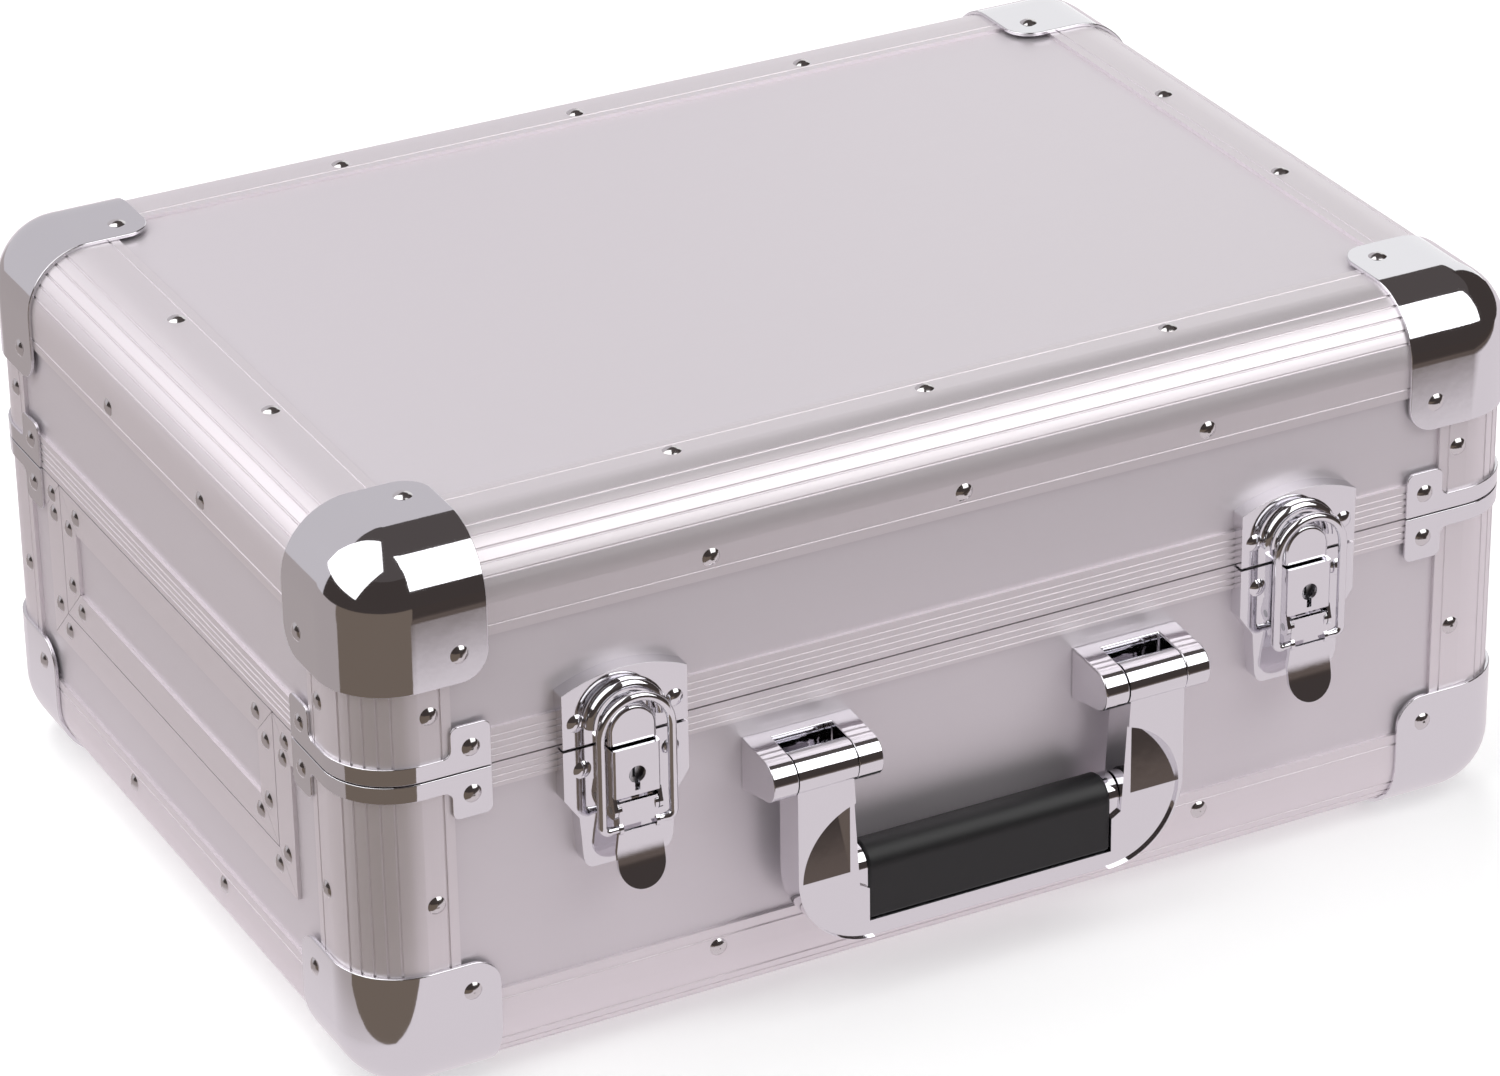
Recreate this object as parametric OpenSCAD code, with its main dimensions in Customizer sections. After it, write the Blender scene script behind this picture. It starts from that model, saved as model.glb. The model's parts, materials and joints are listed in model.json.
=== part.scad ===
// Aluminium-edged flight case for a table-top player, lying flat with its handle to the front.
// +X runs along the handle side, +Y from the handle side to the hinge side, +Z up through the lid.
// Built in the case's own frame (front face at y = 0, lower flanges at z = 0) and moved by placed().

/* [Case] */
// Width along the handle side, over the edge extrusions
case_w = 480; // [420:1:600]
// Depth from the handle side to the hinge side
case_d = 340; // [320:1:440]
// Height of the base, up to the seam
base_h = 129; // [118:0.5:150]
// Height of the lid, down to the seam
lid_h = 87; // [80:0.5:110]
// Gap between base and lid along the seam
seam_gap = 0.6; // [0.4:0.1:1]

/* [Walls] */
// Thickness of the plywood boards
board_t = 7.5; // [6:0.1:9]
// Thickness of the aluminium sheet bonded to each board
skin_t = 0.6; // [0.4:0.1:1]
// Thickness of the foam lining
lining_t = 10; // [6:0.5:14]

/* [Edge extrusions] */
// Length of each leg of the edge angle
edge_leg = 37.2; // [35:0.1:38]
// Radius of the round nose
edge_r = 25; // [22:0.5:25.5]
// Wall of the extrusion
edge_t = 1.5; // [1.2:0.1:2]
// Number of grooves round the nose
groove_count = 5; // [3:1:7]
// Angle from one groove to the next
groove_pitch = 11.5; // [8:0.5:12]

/* [Ball corners] */
// Reach of a corner along each edge
corner_size = 52; // [50:0.5:54]
// Sheet thickness of the corners
corner_t = 1.6; // [1.5:0.1:2]
// Rounding of the far corner of each petal
corner_round = 11; // [6:0.5:14]

/* [Seam clamps] */
// Height of the band round each post
clamp_band_h = 6.6; // [5:0.2:9]
// Height of the two ears of a clamp
clamp_ear_h = 18; // [15:0.5:22]
// Width of an ear
clamp_ear_w = 15.6; // [14:0.2:18]
// Sheet thickness of the clamps
clamp_t = 1.2; // [0.8:0.1:1.6]

/* [Rivets] */
// Diameter of a rivet head
rivet_d = 7; // [5:0.2:7.4]
// Height of a rivet head
rivet_h = 1.4; // [0.8:0.1:1.5]
// Share of the width from the middle rivet to the outer ones, on the long edges
rivet_long_share = 0.2108; // [0.15:0.005:0.25]
// Share of the depth from the middle to each rivet, on the short edges
rivet_short_share = 0.1265; // [0.1:0.005:0.2]
// Share of a post's free length from the ball corner to its rivets
rivet_post_share = 0.375; // [0.3:0.005:0.6]

/* [Latches] */
// Share of the width from the middle of the case to each latch
latch_share = 0.28854; // [0.28:0.00001:0.32]
// Width of the latch plates
latch_w = 49; // [46:0.5:54]
// How far the latch plates stand out
latch_proud = 5; // [4:0.2:6]
// Radius of the catch boss on the lid
boss_r = 9.4; // [8:0.1:10]
// Diameter of the bail wire
bail_wire_d = 3.4; // [3:0.1:3.6]
// How far the lever swings out
lever_swing = 95; // [60:5:95]

/* [Handle] */
// Distance of each handle mount from the middle of the case
mount_x = 68; // [60:0.5:80]
// Width of a mount over its two ears
mount_w = 44; // [42:0.5:52]
// Radius of the handle knuckles
knuckle_r = 8; // [7:0.1:9]
// Radius of the handle pins
handle_pin_r = 2.5; // [2:0.1:3]
// Drop from the pin to the lower edge of the bow
bow_drop = 72.8; // [66:0.2:80]
// Depth of the bow, front to back
bow_t = 14; // [12:0.5:15]

/* [Hinges] */
// Distance of each hinge's middle from the side of the case
hinge_in = 90; // [86:1:120]
// Length of a hinge
hinge_len = 62; // [50:1:80]
// Radius of the hinge knuckles
hinge_r = 3.6; // [3.2:0.1:4]
// Radius of the hinge pins
hinge_pin_r = 1.8; // [1.5:0.1:2]

/* [Cable panel] */
// From the handle side to the lift-out cable panel
panel_front_in = 71; // [68:0.5:80]
// From the hinge side to the cable panel
panel_back_in = 68; // [68:0.5:80]
// Height of the cable panel
panel_h = 55; // [45:0.5:62]
// Width of the riveted strips that frame it
strip_w = 14.3; // [12:0.1:15]

/* [Feet] */
// Diameter of the rubber feet on the hinge side
foot_d = 26; // [20:1:30]
// Height of the rubber feet
foot_h = 12; // [10:0.5:16]
// Distance of each foot from the side of the case
foot_in = 66; // [62:1:90]

/* [Hidden] */
$fn = 48;

overrun = 1;        // how far a cutter runs past what it cuts
slip = 0.1;         // slip fit between pieces that are pushed together
left = -1;
right = 1;

case_h = base_h + seam_gap + lid_h;
seam_h = base_h + seam_gap / 2;         // middle of the seam
latch_x = case_w * latch_share;
hinge_x = case_w / 2 - hinge_in;
panel_y0 = panel_front_in;
panel_len = case_d - panel_front_in - panel_back_in;
panel_z0 = base_h - panel_h;

// Stations through the wall, measured inwards from the outer faces
skin_in = edge_t;                       // outer face of the bonded sheet
board_in = skin_in + skin_t;            // outer face of the board
inner_in = board_in + board_t + slip;   // outer face of the inner flanges
lining_in = inner_in + edge_t;          // outer face of the foam
cavity_in = lining_in + lining_t;       // inner face of the foam

// Edge extrusions
board_stop = edge_r;  // where a board ends inside its slot, from the outer face of the next wall
inner_leg = 16;     // length of the inner flanges
groove_r = 0.55;    // half width of a groove
line_inset = 4;     // scribed line from the edge of each leg
line_r = 0.45;
mitre_gap = 0.15;   // half of the gap in a mitred joint
rivet_in = 29;      // rivet row on a leg, from the outer edge

// Rims along the seam
lid_rim_h = 13.4;
base_rim_h = 9.6;
rim_web = 2;        // the part of a rim under the edge of its board
tongue_h = 4.5;
tongue_t = 1.8;
tongue_in = 3.9;    // outer side of the tongue, from the outer face
tongue_play = 0.4;
rim_line_step = 2.6;

// Ball corners and clamps
corner_rivet = 40.75;
clamp_reach = 51.6;
clamp_round = 3;
clamp_rivet_z = 9.2;   // from the seam
clamp_rivet = clamp_reach - clamp_ear_w / 2;

// Frame around the cable panel
strip_gap = 0.25;      // half of the gap between the panel and its fixed frame
web_t = 5.8;           // depth of the grooved web that caps the wall around the panel
groove_d = 4.4;
panel_tongue_l = 4;
panel_tongue_t = 1.8;
panel_tongue_in = 4.6;
groove_play = 0.3;
strip_rivet_in = 7.2;  // from the long edge of a strip
strip_rivet_on = 15.2; // from the end of a strip
panel_web = 2;

// Latch stations, measured from the seam
strike_side_h = 21.7;
strike_crown = 5.6;
strike_foot = 0.4;
plate_wall = 1.2;
tray_top = -0.8;
tray_shoulder = -20;
tray_waist = -28.3;
tray_bottom = -49.3;
tray_waist_w = 37.6;
tray_bottom_w = 34.6;
tray_round = 4;
boss_z = 5.3;              // centre of the boss and of the bail's arch
boss_proud = 11;
boss_round = 1.6;
hump_r = 16;
hump_z = 7;
hump_w = 5.6;
hump_proud = 8.2;
lock_w = 19;
lock_top = -0.4;
lock_bottom = -19.6;
lock_proud = 13.5;
lock_wall = 1.5;
keyhole_z = -11.4;
keyhole_r = 3.3;
keyway_w = 2;
keyway_l = 6.4;
barrel_r = 5.4;
barrel_back = 3;           // how far the barrel's face lies behind the keyhole plate
strike_rivet_x = 19.2;
strike_rivet_z = 9.8;
tray_rivet_x = 17.2;
tray_rivet_z = -9.2;
lever_y = -11;             // lever pivot
lever_z = -24.8;
lever_pin_r = 1.5;
pin_play = 0.05;
ear_t = 1.4;
ear_r = 3.4;
ear_gap = 0.25;
bail_y = -13.2;            // plane of the bail, and its pivot on the lever
bail_z = -31.7;
bail_r = 14;
bail_wire_r = bail_wire_d / 2;
lever_t = 1.5;
lever_top_z = -21.6;       // stations of the lever's outer face, from the lock to the tip
lever_top_y = -13.6;
lever_knee_z = -40.4;
lever_knee_y = -14.4;
lever_bend_z = -47;
lever_bend_y = -15.9;
lever_tip_z = -55.2;
lever_tip_y = -18.6;
lever_neck_z = -30;        // below this the lever widens
lever_neck_w = 15.2;
lever_wide_w = 18.4;
cheek_w = 6.2;

// Handle stations
mount_drop = 17.5;         // from the seam down to a mount
mount_h = 20.9;
mount_pin_h = 11.7;        // height of the pin in its mount
mount_top = seam_h - mount_drop;
mount_bottom = mount_top - mount_h;
pin_y = -16;
pin_z = mount_bottom + mount_pin_h;
mount_ear_w = 9.8;
pin_cover = 2.4;           // wall of an ear beyond the end of its pin
mount_play = 0.35;         // side play of the bow's knuckle between the ears
pocket_floor = 3;
arm_w = mount_w - 2 * (mount_ear_w + mount_play);
bow_w = 2 * mount_x + arm_w;
bow_front = -22.2;
bow_round = 31;
bow_bar_h = 6.4;
bow_step_w = 4;
bow_step_z = 20;           // height of the collar seats above the lower edge of the bow
bow_step_rise = 2.4;
arm_top_w = 22.4;          // the arms widen from their knuckles down to the collar seats
arm_low_w = 25.4;
dish_rim = 1.7;            // between the sunk part of the bow's face and its outer edge
dish_step = 1.2;           // how deep the lower part of the face is sunk
dish_deep = 8;             // depth of the thumb recess where it starts, below the knuckle
dish_low = 29;             // where its floor comes out, above the lower edge of the bow
dish_lip = 0.9;            // between the recess and the inner edge of the arm
grip_t = 17;
grip_h = 28.2;
grip_back = -3.2;
collar_t = 0.7;            // how much smaller the chrome collars are than the grip

// Hinges
leaf_h = 22;
leaf_t = 1.5;
hinge_knuckles = 5;
hinge_play = 0.3;
hinge_pin_play = 0.05;
hinge_stand = 0.35;         // how far the knuckles stand off the case
hinge_axis_y = case_d + hinge_r + hinge_stand;

// Feet
foot_z = 27;
foot_top_d = 20;
foot_rim = 2;

// The case stands on the lower ball corners and is centred over its own box
pin_front = -pin_y + knuckle_r;
front_reach = max(pin_front, -bow_front);
back_reach = foot_h;
shift_y = (front_reach - back_reach) / 2 - case_d / 2;

module placed() translate([0, shift_y, corner_t]) children();

// Children drawn at the front, left, lower corner, with x, y and z running into the case,
// are drawn at the corner that the three flags choose
module at_corner(sx, sy, sz) {
  translate([0, case_d / 2, case_h / 2])
    mirror([sx, 0, 0]) mirror([0, sy, 0]) mirror([0, 0, sz])
      translate([-case_w / 2, -case_d / 2, -case_h / 2])
        children();
}

// Turns that lay a bar drawn along z along x or along y, with its profile still in the corner
module along_x() rotate([90, 0, 90]) children();
module along_y() rotate([0, -90, -90]) children();

// A square whose near corner is rounded, with its sides at distance o from the outer faces
module nose(o, size, r) {
  difference() {
    translate([o, o]) square(size - o);
    difference() {
      translate([o - overrun, o - overrun]) square(r + overrun);
      translate([o + r, o + r]) circle(r);
    }
  }
}

module edge_profile() {
  mid = 45;
  difference() {
    union() {
      difference() {
        nose(0, edge_leg, edge_r);
        nose(edge_t, edge_leg + overrun, edge_r - edge_t);
      }
      difference() {
        translate([inner_in, inner_in]) square(inner_leg);
        translate([lining_in, lining_in]) square(inner_leg);
      }
      intersection() {
        nose(edge_t / 2, edge_leg, edge_r - edge_t / 2);
        union() {
          translate([0, board_stop - edge_t]) square([lining_in, edge_t]);
          translate([board_stop - edge_t, 0]) square([edge_t, lining_in]);
        }
      }
    }
    for (i = [0 : groove_count - 1]) {
      a = mid + (i - (groove_count - 1) / 2) * groove_pitch;
      translate([edge_r - edge_r * cos(a), edge_r - edge_r * sin(a)]) circle(groove_r);
    }
    translate([edge_leg - line_inset, 0]) circle(line_r);
    translate([0, edge_leg - line_inset]) circle(line_r);
  }
}

// A bar of the edge extrusion along z. Its legs are mitred at the near end and, unless flat, at
// the far end, and its nose is cut square where the ball of the corner begins
module edge_bar(length, far_flat = false) {
  reach = edge_leg + overrun;
  nose_end = edge_r + mitre_gap;
  near = [[0, nose_end], [edge_r, nose_end], [reach, reach + mitre_gap]];
  far = far_flat ? [[reach, length], [0, length]] :
    [for (i = [2 : -1 : 0]) [near[i].x, length - near[i].y]];
  mitre = concat(near, far);
  intersection() {
    linear_extrude(length) edge_profile();
    translate([0, reach, 0]) rotate([90, 0, 0]) linear_extrude(reach + overrun) polygon(mitre);
    rotate([90, 0, 90]) linear_extrude(reach) polygon(mitre);
  }
}

module front_back_edge(sy, sz) at_corner(0, sy, sz) along_x() edge_bar(case_w);
module side_edge(sx, sz) at_corner(sx, 0, sz) along_y() edge_bar(case_d);

module posts(sz, length) {
  for (sx = [0, 1], sy = [0, 1]) at_corner(sx, sy, sz) edge_bar(length, true);
}

// Half domed rivet head standing on a face whose outward normal is local +z
module rivet_head() {
  r = (rivet_d * rivet_d / 4 + rivet_h * rivet_h) / (2 * rivet_h);
  rotate_extrude() intersection() {
    translate([0, rivet_h - r]) circle(r);
    square([rivet_d, rivet_h]);
  }
}

// The same head at a place on an outer face: on_x, on_y and on_z stand on the planes x, y, z = 0
module on_x(y, z, out = 0) translate([-out, y, z]) rotate([0, -90, 0]) rivet_head();
module on_y(x, z, out = 0) translate([x, -out, z]) rotate([90, 0, 0]) rivet_head();
module on_z(x, y, out = 0) translate([x, y, -out]) rotate([180, 0, 0]) rivet_head();

// One half of the case's rivets: the flag chooses base (0) or lid (1)
module half_rivets(sz) {
  long_step = case_w * rivet_long_share;
  short_step = case_d * rivet_short_share;
  half_h = sz == 0 ? base_h : lid_h;
  post_z = corner_size + (half_h - clamp_band_h - corner_size) * rivet_post_share;
  seam_z = sz == 0 ? seam_h - clamp_rivet_z : case_h - seam_h - clamp_rivet_z;
  for (sy = [0, 1], i = [-1 : 1]) at_corner(0, sy, sz) {
    on_z(case_w / 2 + i * long_step, rivet_in);
    on_y(case_w / 2 + i * long_step, rivet_in);
  }
  for (sx = [0, 1], i = [-1, 1]) at_corner(sx, 0, sz) {
    on_z(rivet_in, case_d / 2 + i * short_step);
    on_x(case_d / 2 + i * short_step, rivet_in);
  }
  for (sx = [0, 1], sy = [0, 1]) at_corner(sx, sy, sz) {
    on_x(rivet_in, post_z);
    on_y(rivet_in, post_z);
    on_x(corner_rivet, corner_rivet, corner_t);
    on_y(corner_rivet, corner_rivet, corner_t);
    on_z(corner_rivet, corner_rivet, sz == 0 ? corner_t - rivet_h : corner_t);
    on_x(clamp_rivet, seam_z, clamp_t);
    on_y(clamp_rivet, seam_z, clamp_t);
  }
}

// Sheet corner: a turned edge and ball, two rolled edges, and three petals with round ends
module ball_corner(sunk_rivet = false) {
  t = corner_t;
  c = edge_r;
  flat = corner_size - c;
  petal = corner_size - corner_round;
  difference() {
    union() {
      translate([c, c, c]) rotate([0, 0, 180]) rotate_extrude(angle = 90) {
        translate([c, 0]) square([t, flat]);
        quarter_ring(c, t);
      }
      translate([c, 0, 0]) rotate([90, 0, 90]) linear_extrude(flat) {
        translate([c, c]) rotate(-90) quarter_ring(c, t);
        translate([-t, c]) square([t, flat]);
        translate([c, -t]) square([flat, t]);
      }
      translate([0, corner_size, 0]) rotate([90, 0, 0]) linear_extrude(flat) {
        translate([c, c]) rotate(-90) quarter_ring(c, t);
        translate([-t, c]) square([t, flat]);
      }
    }
    petal_cut(petal);
    along_x() petal_cut(petal);
    along_y() petal_cut(petal);
    if (sunk_rivet)
      translate([corner_rivet, corner_rivet, -t - overrun])
        cylinder(d = rivet_d + slip, h = rivet_h + overrun);
  }
}

// A quarter of a ring about the origin, in the quadrant where x > 0 and y < 0
module quarter_ring(r, t) {
  intersection() {
    difference() {
      circle(r + t);
      circle(r);
    }
    translate([0, -r - t - overrun]) square(r + t + overrun);
  }
}

// Rounds the far corner of the petal that lies on z = 0
module petal_cut(petal) {
  difference() {
    translate([petal, petal, -corner_t - overrun]) cube([corner_round + overrun,
      corner_round + overrun, corner_t + 2 * overrun]);
    translate([petal, petal, -corner_t - 2 * overrun])
      cylinder(r = corner_round, h = corner_t + 4 * overrun);
  }
}

// Band round a post with an ear on each face, drawn upwards from z = 0 at the seam
module seam_clamp() {
  linear_extrude(clamp_band_h) difference() {
    nose(-clamp_t, clamp_reach, edge_r + clamp_t);
    nose(0, clamp_reach + overrun, edge_r);
  }
  clamp_ear();
  mirror([1, -1, 0]) clamp_ear();
}

module clamp_ear() {
  inner = clamp_reach - clamp_ear_w;
  rotate([90, 0, 0]) linear_extrude(clamp_t) {
    difference() {
      union() {
        translate([inner, 0]) square([clamp_ear_w, clamp_ear_h]);
        translate([inner - clamp_round, 0]) square([clamp_round, clamp_band_h + clamp_round]);
      }
      translate([inner - clamp_round, clamp_band_h + clamp_round]) circle(clamp_round);
      for (x = [inner, clamp_reach])
        translate([x, clamp_ear_h]) round_off(x == inner ? 1 : -1, -1);
    }
  }
}

// What is cut away to round a corner at the origin, whose material lies towards (dx, dy)
module round_off(dx, dy, r = clamp_round) {
  difference() {
    square([2 * r, 2 * r], center = true);
    translate([dx * r, dy * r]) circle(r);
  }
}

module seam_clamps(sz) {
  z = sz == 0 ? seam_h - seam_gap / 2 : case_h - seam_h - seam_gap / 2;
  for (sx = [0, 1], sy = [0, 1]) at_corner(sx, sy, sz) translate([0, 0, z]) mirror([0, 0, 1])
    seam_clamp();
}

// Profiles of the seam rims: x is the depth from the outer face, y runs away from the seam
module lid_rim_profile() {
  web = tongue_h + rim_web;
  difference() {
    union() {
      translate([0, seam_gap / 2]) square([edge_t, lid_rim_h]);
      translate([0, seam_gap / 2]) square([lining_in, web]);
      translate([inner_in, seam_gap / 2]) square([edge_t, lid_rim_h]);
    }
    translate([tongue_in - tongue_play, 0])
      square([tongue_t + 2 * tongue_play, tongue_h + tongue_play]);
    rim_lines(lid_rim_h);
  }
}

module base_rim_profile(height = base_rim_h, with_tongue = true) {
  difference() {
    union() {
      translate([0, seam_gap / 2]) square([edge_t, height]);
      translate([0, seam_gap / 2]) square([lining_in, rim_web]);
      translate([inner_in, seam_gap / 2]) square([edge_t, height]);
      if (with_tongue) translate([tongue_in, seam_gap / 2 - tongue_h])
        square([tongue_t, tongue_h + rim_web]);
    }
    rim_lines(height);
  }
}

module rim_lines(height) {
  for (y = [rim_line_step : rim_line_step : height - rim_line_step / 2])
    translate([0, seam_gap / 2 + y]) circle(line_r);
}

// A length of rim along the front or back, and along a side, from the seam downwards (base)
module rim_along_x(sy, sz, x0, x1) {
  z = sz == 0 ? seam_h : case_h - seam_h;
  at_corner(0, sy, sz) translate([x0, 0, z]) mirror([0, 0, 1]) along_x()
    linear_extrude(x1 - x0) children();
}

module rim_along_y(sx, sz, y0, y1) {
  z = sz == 0 ? seam_h : case_h - seam_h;
  at_corner(sx, 0, sz) translate([0, y0, z]) mirror([0, 0, 1])
    translate([0, y1 - y0, 0]) rotate([90, 0, 0]) linear_extrude(y1 - y0) children();
}

rim_start = edge_leg + slip;

// Boards and their bonded sheets, one box each, given from the outer station to the inner one
module wall_x(sx, y0, y1, z0, z1, t0, t1) {
  at_corner(sx, 0, 0) translate([t0, y0, z0]) cube([t1 - t0, y1 - y0, z1 - z0]);
}

module wall_y(sy, z0, z1, t0, t1) {
  x0 = board_stop + slip;
  at_corner(0, sy, 0) translate([x0, t0, z0]) cube([case_w - 2 * x0, t1 - t0, z1 - z0]);
}

module wall_z(sz, t0, t1) {
  o = board_stop + slip;
  at_corner(0, 0, sz) translate([o, o, t0]) cube([case_w - 2 * o, case_d - 2 * o, t1 - t0]);
}

base_z0 = board_stop + slip;
base_z1 = seam_h - seam_gap / 2 - rim_web - slip;
lid_z0 = seam_h + seam_gap / 2 + tongue_h + rim_web + slip;
lid_z1 = case_h - board_stop - slip;
side_y0 = board_stop + slip;
side_y1 = case_d - board_stop - slip;
notch_y0 = panel_y0 - strip_gap - web_t - slip;
notch_y1 = panel_y0 + panel_len + strip_gap + web_t + slip;
notch_z = panel_z0 - strip_gap - web_t - slip;

// The base's left wall is cut down to make room for the cable panel and its frame
module notched(t0, t1) {
  difference() {
    wall_x(0, side_y0, side_y1, base_z0, fixed_top - web_t - slip, t0, t1);
    translate([-case_w / 2 - overrun, notch_y0, notch_z])
      cube([cavity_in, notch_y1 - notch_y0, case_h]);
  }
}

module base_bottom_board() placed() color("burlywood") wall_z(0, board_in, board_in + board_t);
module base_front_board() placed() color("burlywood")
  wall_y(0, base_z0, base_z1, board_in, board_in + board_t);
module base_back_board() placed() color("burlywood")
  wall_y(1, base_z0, base_z1, board_in, board_in + board_t);
module base_left_board() placed() color("burlywood") notched(board_in, board_in + board_t);
module base_right_board() placed() color("burlywood")
  wall_x(1, side_y0, side_y1, base_z0, base_z1, board_in, board_in + board_t);

module base_skins() placed() color("silver") {
  wall_z(0, skin_in, board_in);
  wall_y(0, base_z0, base_z1, skin_in, board_in);
  wall_y(1, base_z0, base_z1, skin_in, board_in);
  notched(skin_in, board_in);
  wall_x(1, side_y0, side_y1, base_z0, base_z1, skin_in, board_in);
}

module lid_top_board() placed() color("burlywood") wall_z(1, board_in, board_in + board_t);
module lid_front_board() placed() color("burlywood")
  wall_y(0, lid_z0, lid_z1, board_in, board_in + board_t);
module lid_back_board() placed() color("burlywood")
  wall_y(1, lid_z0, lid_z1, board_in, board_in + board_t);
module lid_left_board() placed() color("burlywood")
  wall_x(0, side_y0, side_y1, lid_z0, lid_z1, board_in, board_in + board_t);
module lid_right_board() placed() color("burlywood")
  wall_x(1, side_y0, side_y1, lid_z0, lid_z1, board_in, board_in + board_t);

module lid_skins() placed() color("silver") {
  wall_z(1, skin_in, board_in);
  for (s = [0, 1]) {
    wall_y(s, lid_z0, lid_z1, skin_in, board_in);
    wall_x(s, side_y0, side_y1, lid_z0, lid_z1, skin_in, board_in);
  }
}

module base_front_edge() placed() color("lightgray") front_back_edge(0, 0);
module base_back_edge() placed() color("lightgray") front_back_edge(1, 0);
module base_left_edge() placed() color("lightgray") side_edge(0, 0);
module base_right_edge() placed() color("lightgray") side_edge(1, 0);
module lid_front_edge() placed() color("lightgray") front_back_edge(0, 1);
module lid_back_edge() placed() color("lightgray") front_back_edge(1, 1);
module lid_left_edge() placed() color("lightgray") side_edge(0, 1);
module lid_right_edge() placed() color("lightgray") side_edge(1, 1);
module base_posts() placed() color("lightgray") posts(0, seam_h - seam_gap / 2);
module lid_posts() placed() color("lightgray") posts(1, case_h - seam_h - seam_gap / 2);

module base_rims() placed() color("gainsboro") {
  rim_along_x(0, 0, rim_start, case_w - rim_start) base_rim_profile();
  rim_along_x(1, 0, rim_start, case_w - rim_start) base_rim_profile(with_tongue = false);
  rim_along_y(1, 0, rim_start, case_d - rim_start) base_rim_profile();
}

module lid_rims() placed() color("gainsboro") {
  for (s = [0, 1]) {
    rim_along_x(s, 1, rim_start, case_w - rim_start) lid_rim_profile();
    rim_along_y(s, 1, rim_start, case_d - rim_start) lid_rim_profile();
  }
}

module base_ball_corners() placed() color("whitesmoke") {
  for (sx = [0, 1], sy = [0, 1]) at_corner(sx, sy, 0) ball_corner(sunk_rivet = true);
}
module lid_ball_corners() placed() color("whitesmoke") {
  for (sx = [0, 1], sy = [0, 1]) at_corner(sx, sy, 1) ball_corner();
}
module base_seam_clamps() placed() color("whitesmoke") seam_clamps(0);
module lid_seam_clamps() placed() color("whitesmoke") seam_clamps(1);
module base_rivets() placed() color("dimgray") {
  half_rivets(0);
  fixed_strip_rivets();
}
module lid_rivets() placed() color("dimgray") half_rivets(1);

// Foam pads: one on the floor, four on the walls, each a separate piece
module pads(sz, side_h, cut_left) {
  l = lining_in + slip;
  i = l + lining_t;
  at_corner(0, 0, sz) translate([l, l, l]) cube([case_w - 2 * l, case_d - 2 * l, lining_t]);
  for (sy = [0, 1]) at_corner(0, sy, sz)
    translate([l, l, i + slip]) cube([case_w - 2 * l, lining_t, side_h]);
  for (sx = [0, 1]) at_corner(sx, 0, sz) difference() {
    translate([l, i + slip, i + slip]) cube([lining_t, case_d - 2 * (i + slip), side_h]);
    if (cut_left && sx == 0)
      translate([0, notch_y0, notch_z]) cube([case_w / 2, notch_y1 - notch_y0, case_h]);
  }
}

module base_lining() placed() color("darkslategray")
  pads(0, seam_h - cavity_in - rim_web - seam_gap, true);
module lid_lining() placed() color("darkslategray")
  pads(1, case_h - seam_h - cavity_in - rim_web - seam_gap, false);

module feet(sz) {
  for (sx = [0, 1]) at_corner(sx, 1, sz) translate([foot_in, 0, foot_z]) rotate([90, 0, 0])
    difference() {
      union() {
        cylinder(d = foot_d, h = foot_rim);
        translate([0, 0, foot_rim]) cylinder(d1 = foot_d, d2 = foot_top_d, h = foot_h - foot_rim,
          $fn = 64);
      }
      translate([0, 0, foot_h - foot_rim]) cylinder(d = foot_top_d / 2, h = foot_rim + overrun);
    }
}
module base_feet() placed() color("black") feet(0);
module lid_feet() placed() color("black") feet(1);

// Strips about the cable panel and along the seam beside it. A strip's profile has x as the depth through the wall and y as
// the distance from the parting line; it runs along z and its ends are cut at 45 degrees
module fixed_profile() {
  difference() {
    union() {
      square([edge_t, strip_w]);
      square([lining_in, web_t]);
      translate([inner_in, 0]) square([edge_t, strip_w - line_inset]);
    }
    translate([panel_tongue_in - groove_play, -overrun])
      square([panel_tongue_t + 2 * groove_play, groove_d + overrun]);
  }
}

module panel_profile() {
  square([edge_t, strip_w]);
  square([lining_in, panel_web]);
  translate([inner_in, 0]) square([edge_t, strip_w - line_inset]);
  translate([panel_tongue_in, -panel_tongue_l - 2 * strip_gap])
    square([panel_tongue_t, panel_tongue_l + 2 * strip_gap + panel_web]);
}

// Children are a profile; near and far are the lean of each end: 1 outwards, -1 inwards, 0 square
module strip(length, near, far) {
  low = -panel_tongue_l - 2 * strip_gap;
  high = strip_w;
  g = mitre_gap;
  shape = [[low, near == 0 ? 0 : g - near * low], [high, near == 0 ? 0 : g - near * high],
    [high, far == 0 ? length : length - g + far * high],
    [low, far == 0 ? length : length - g + far * low]];
  intersection() {
    translate([0, 0, -2 * strip_w]) linear_extrude(length + 4 * strip_w) children();
    translate([-overrun, 0, 0]) rotate([90, 0, 90]) linear_extrude(lining_in + 2 * overrun)
      polygon(shape);
  }
}

// Lays a strip in the left wall: along the lower side, and up the two ends
module strip_low(y0, z0, flip) translate([-case_w / 2, y0, z0]) mirror([0, 0, flip])
  rotate([-90, 0, 0]) mirror([0, 1, 0]) children();
module strip_end(y0, z0, flip) translate([-case_w / 2, y0, z0]) mirror([0, flip, 0]) children();

fixed_top = seam_h - seam_gap / 2;
module cable_frame() placed() color("gainsboro") {
  y0 = panel_y0 - strip_gap;
  y1 = panel_y0 + panel_len + strip_gap;
  z0 = panel_z0 - strip_gap;
  strip_low(y0, z0, 1) strip(y1 - y0, 1, 1) fixed_profile();
  strip_end(y0, z0, 1) strip(fixed_top - z0, 1, -1) fixed_profile();
  strip_end(y1, z0, 0) strip(fixed_top - z0, 1, -1) fixed_profile();
  strip_low(rim_start, fixed_top, 1) strip(y0 - rim_start, 0, -1) fixed_profile();
  strip_low(y1, fixed_top, 1) strip(case_d - rim_start - y1, -1, 0) fixed_profile();
}

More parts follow.
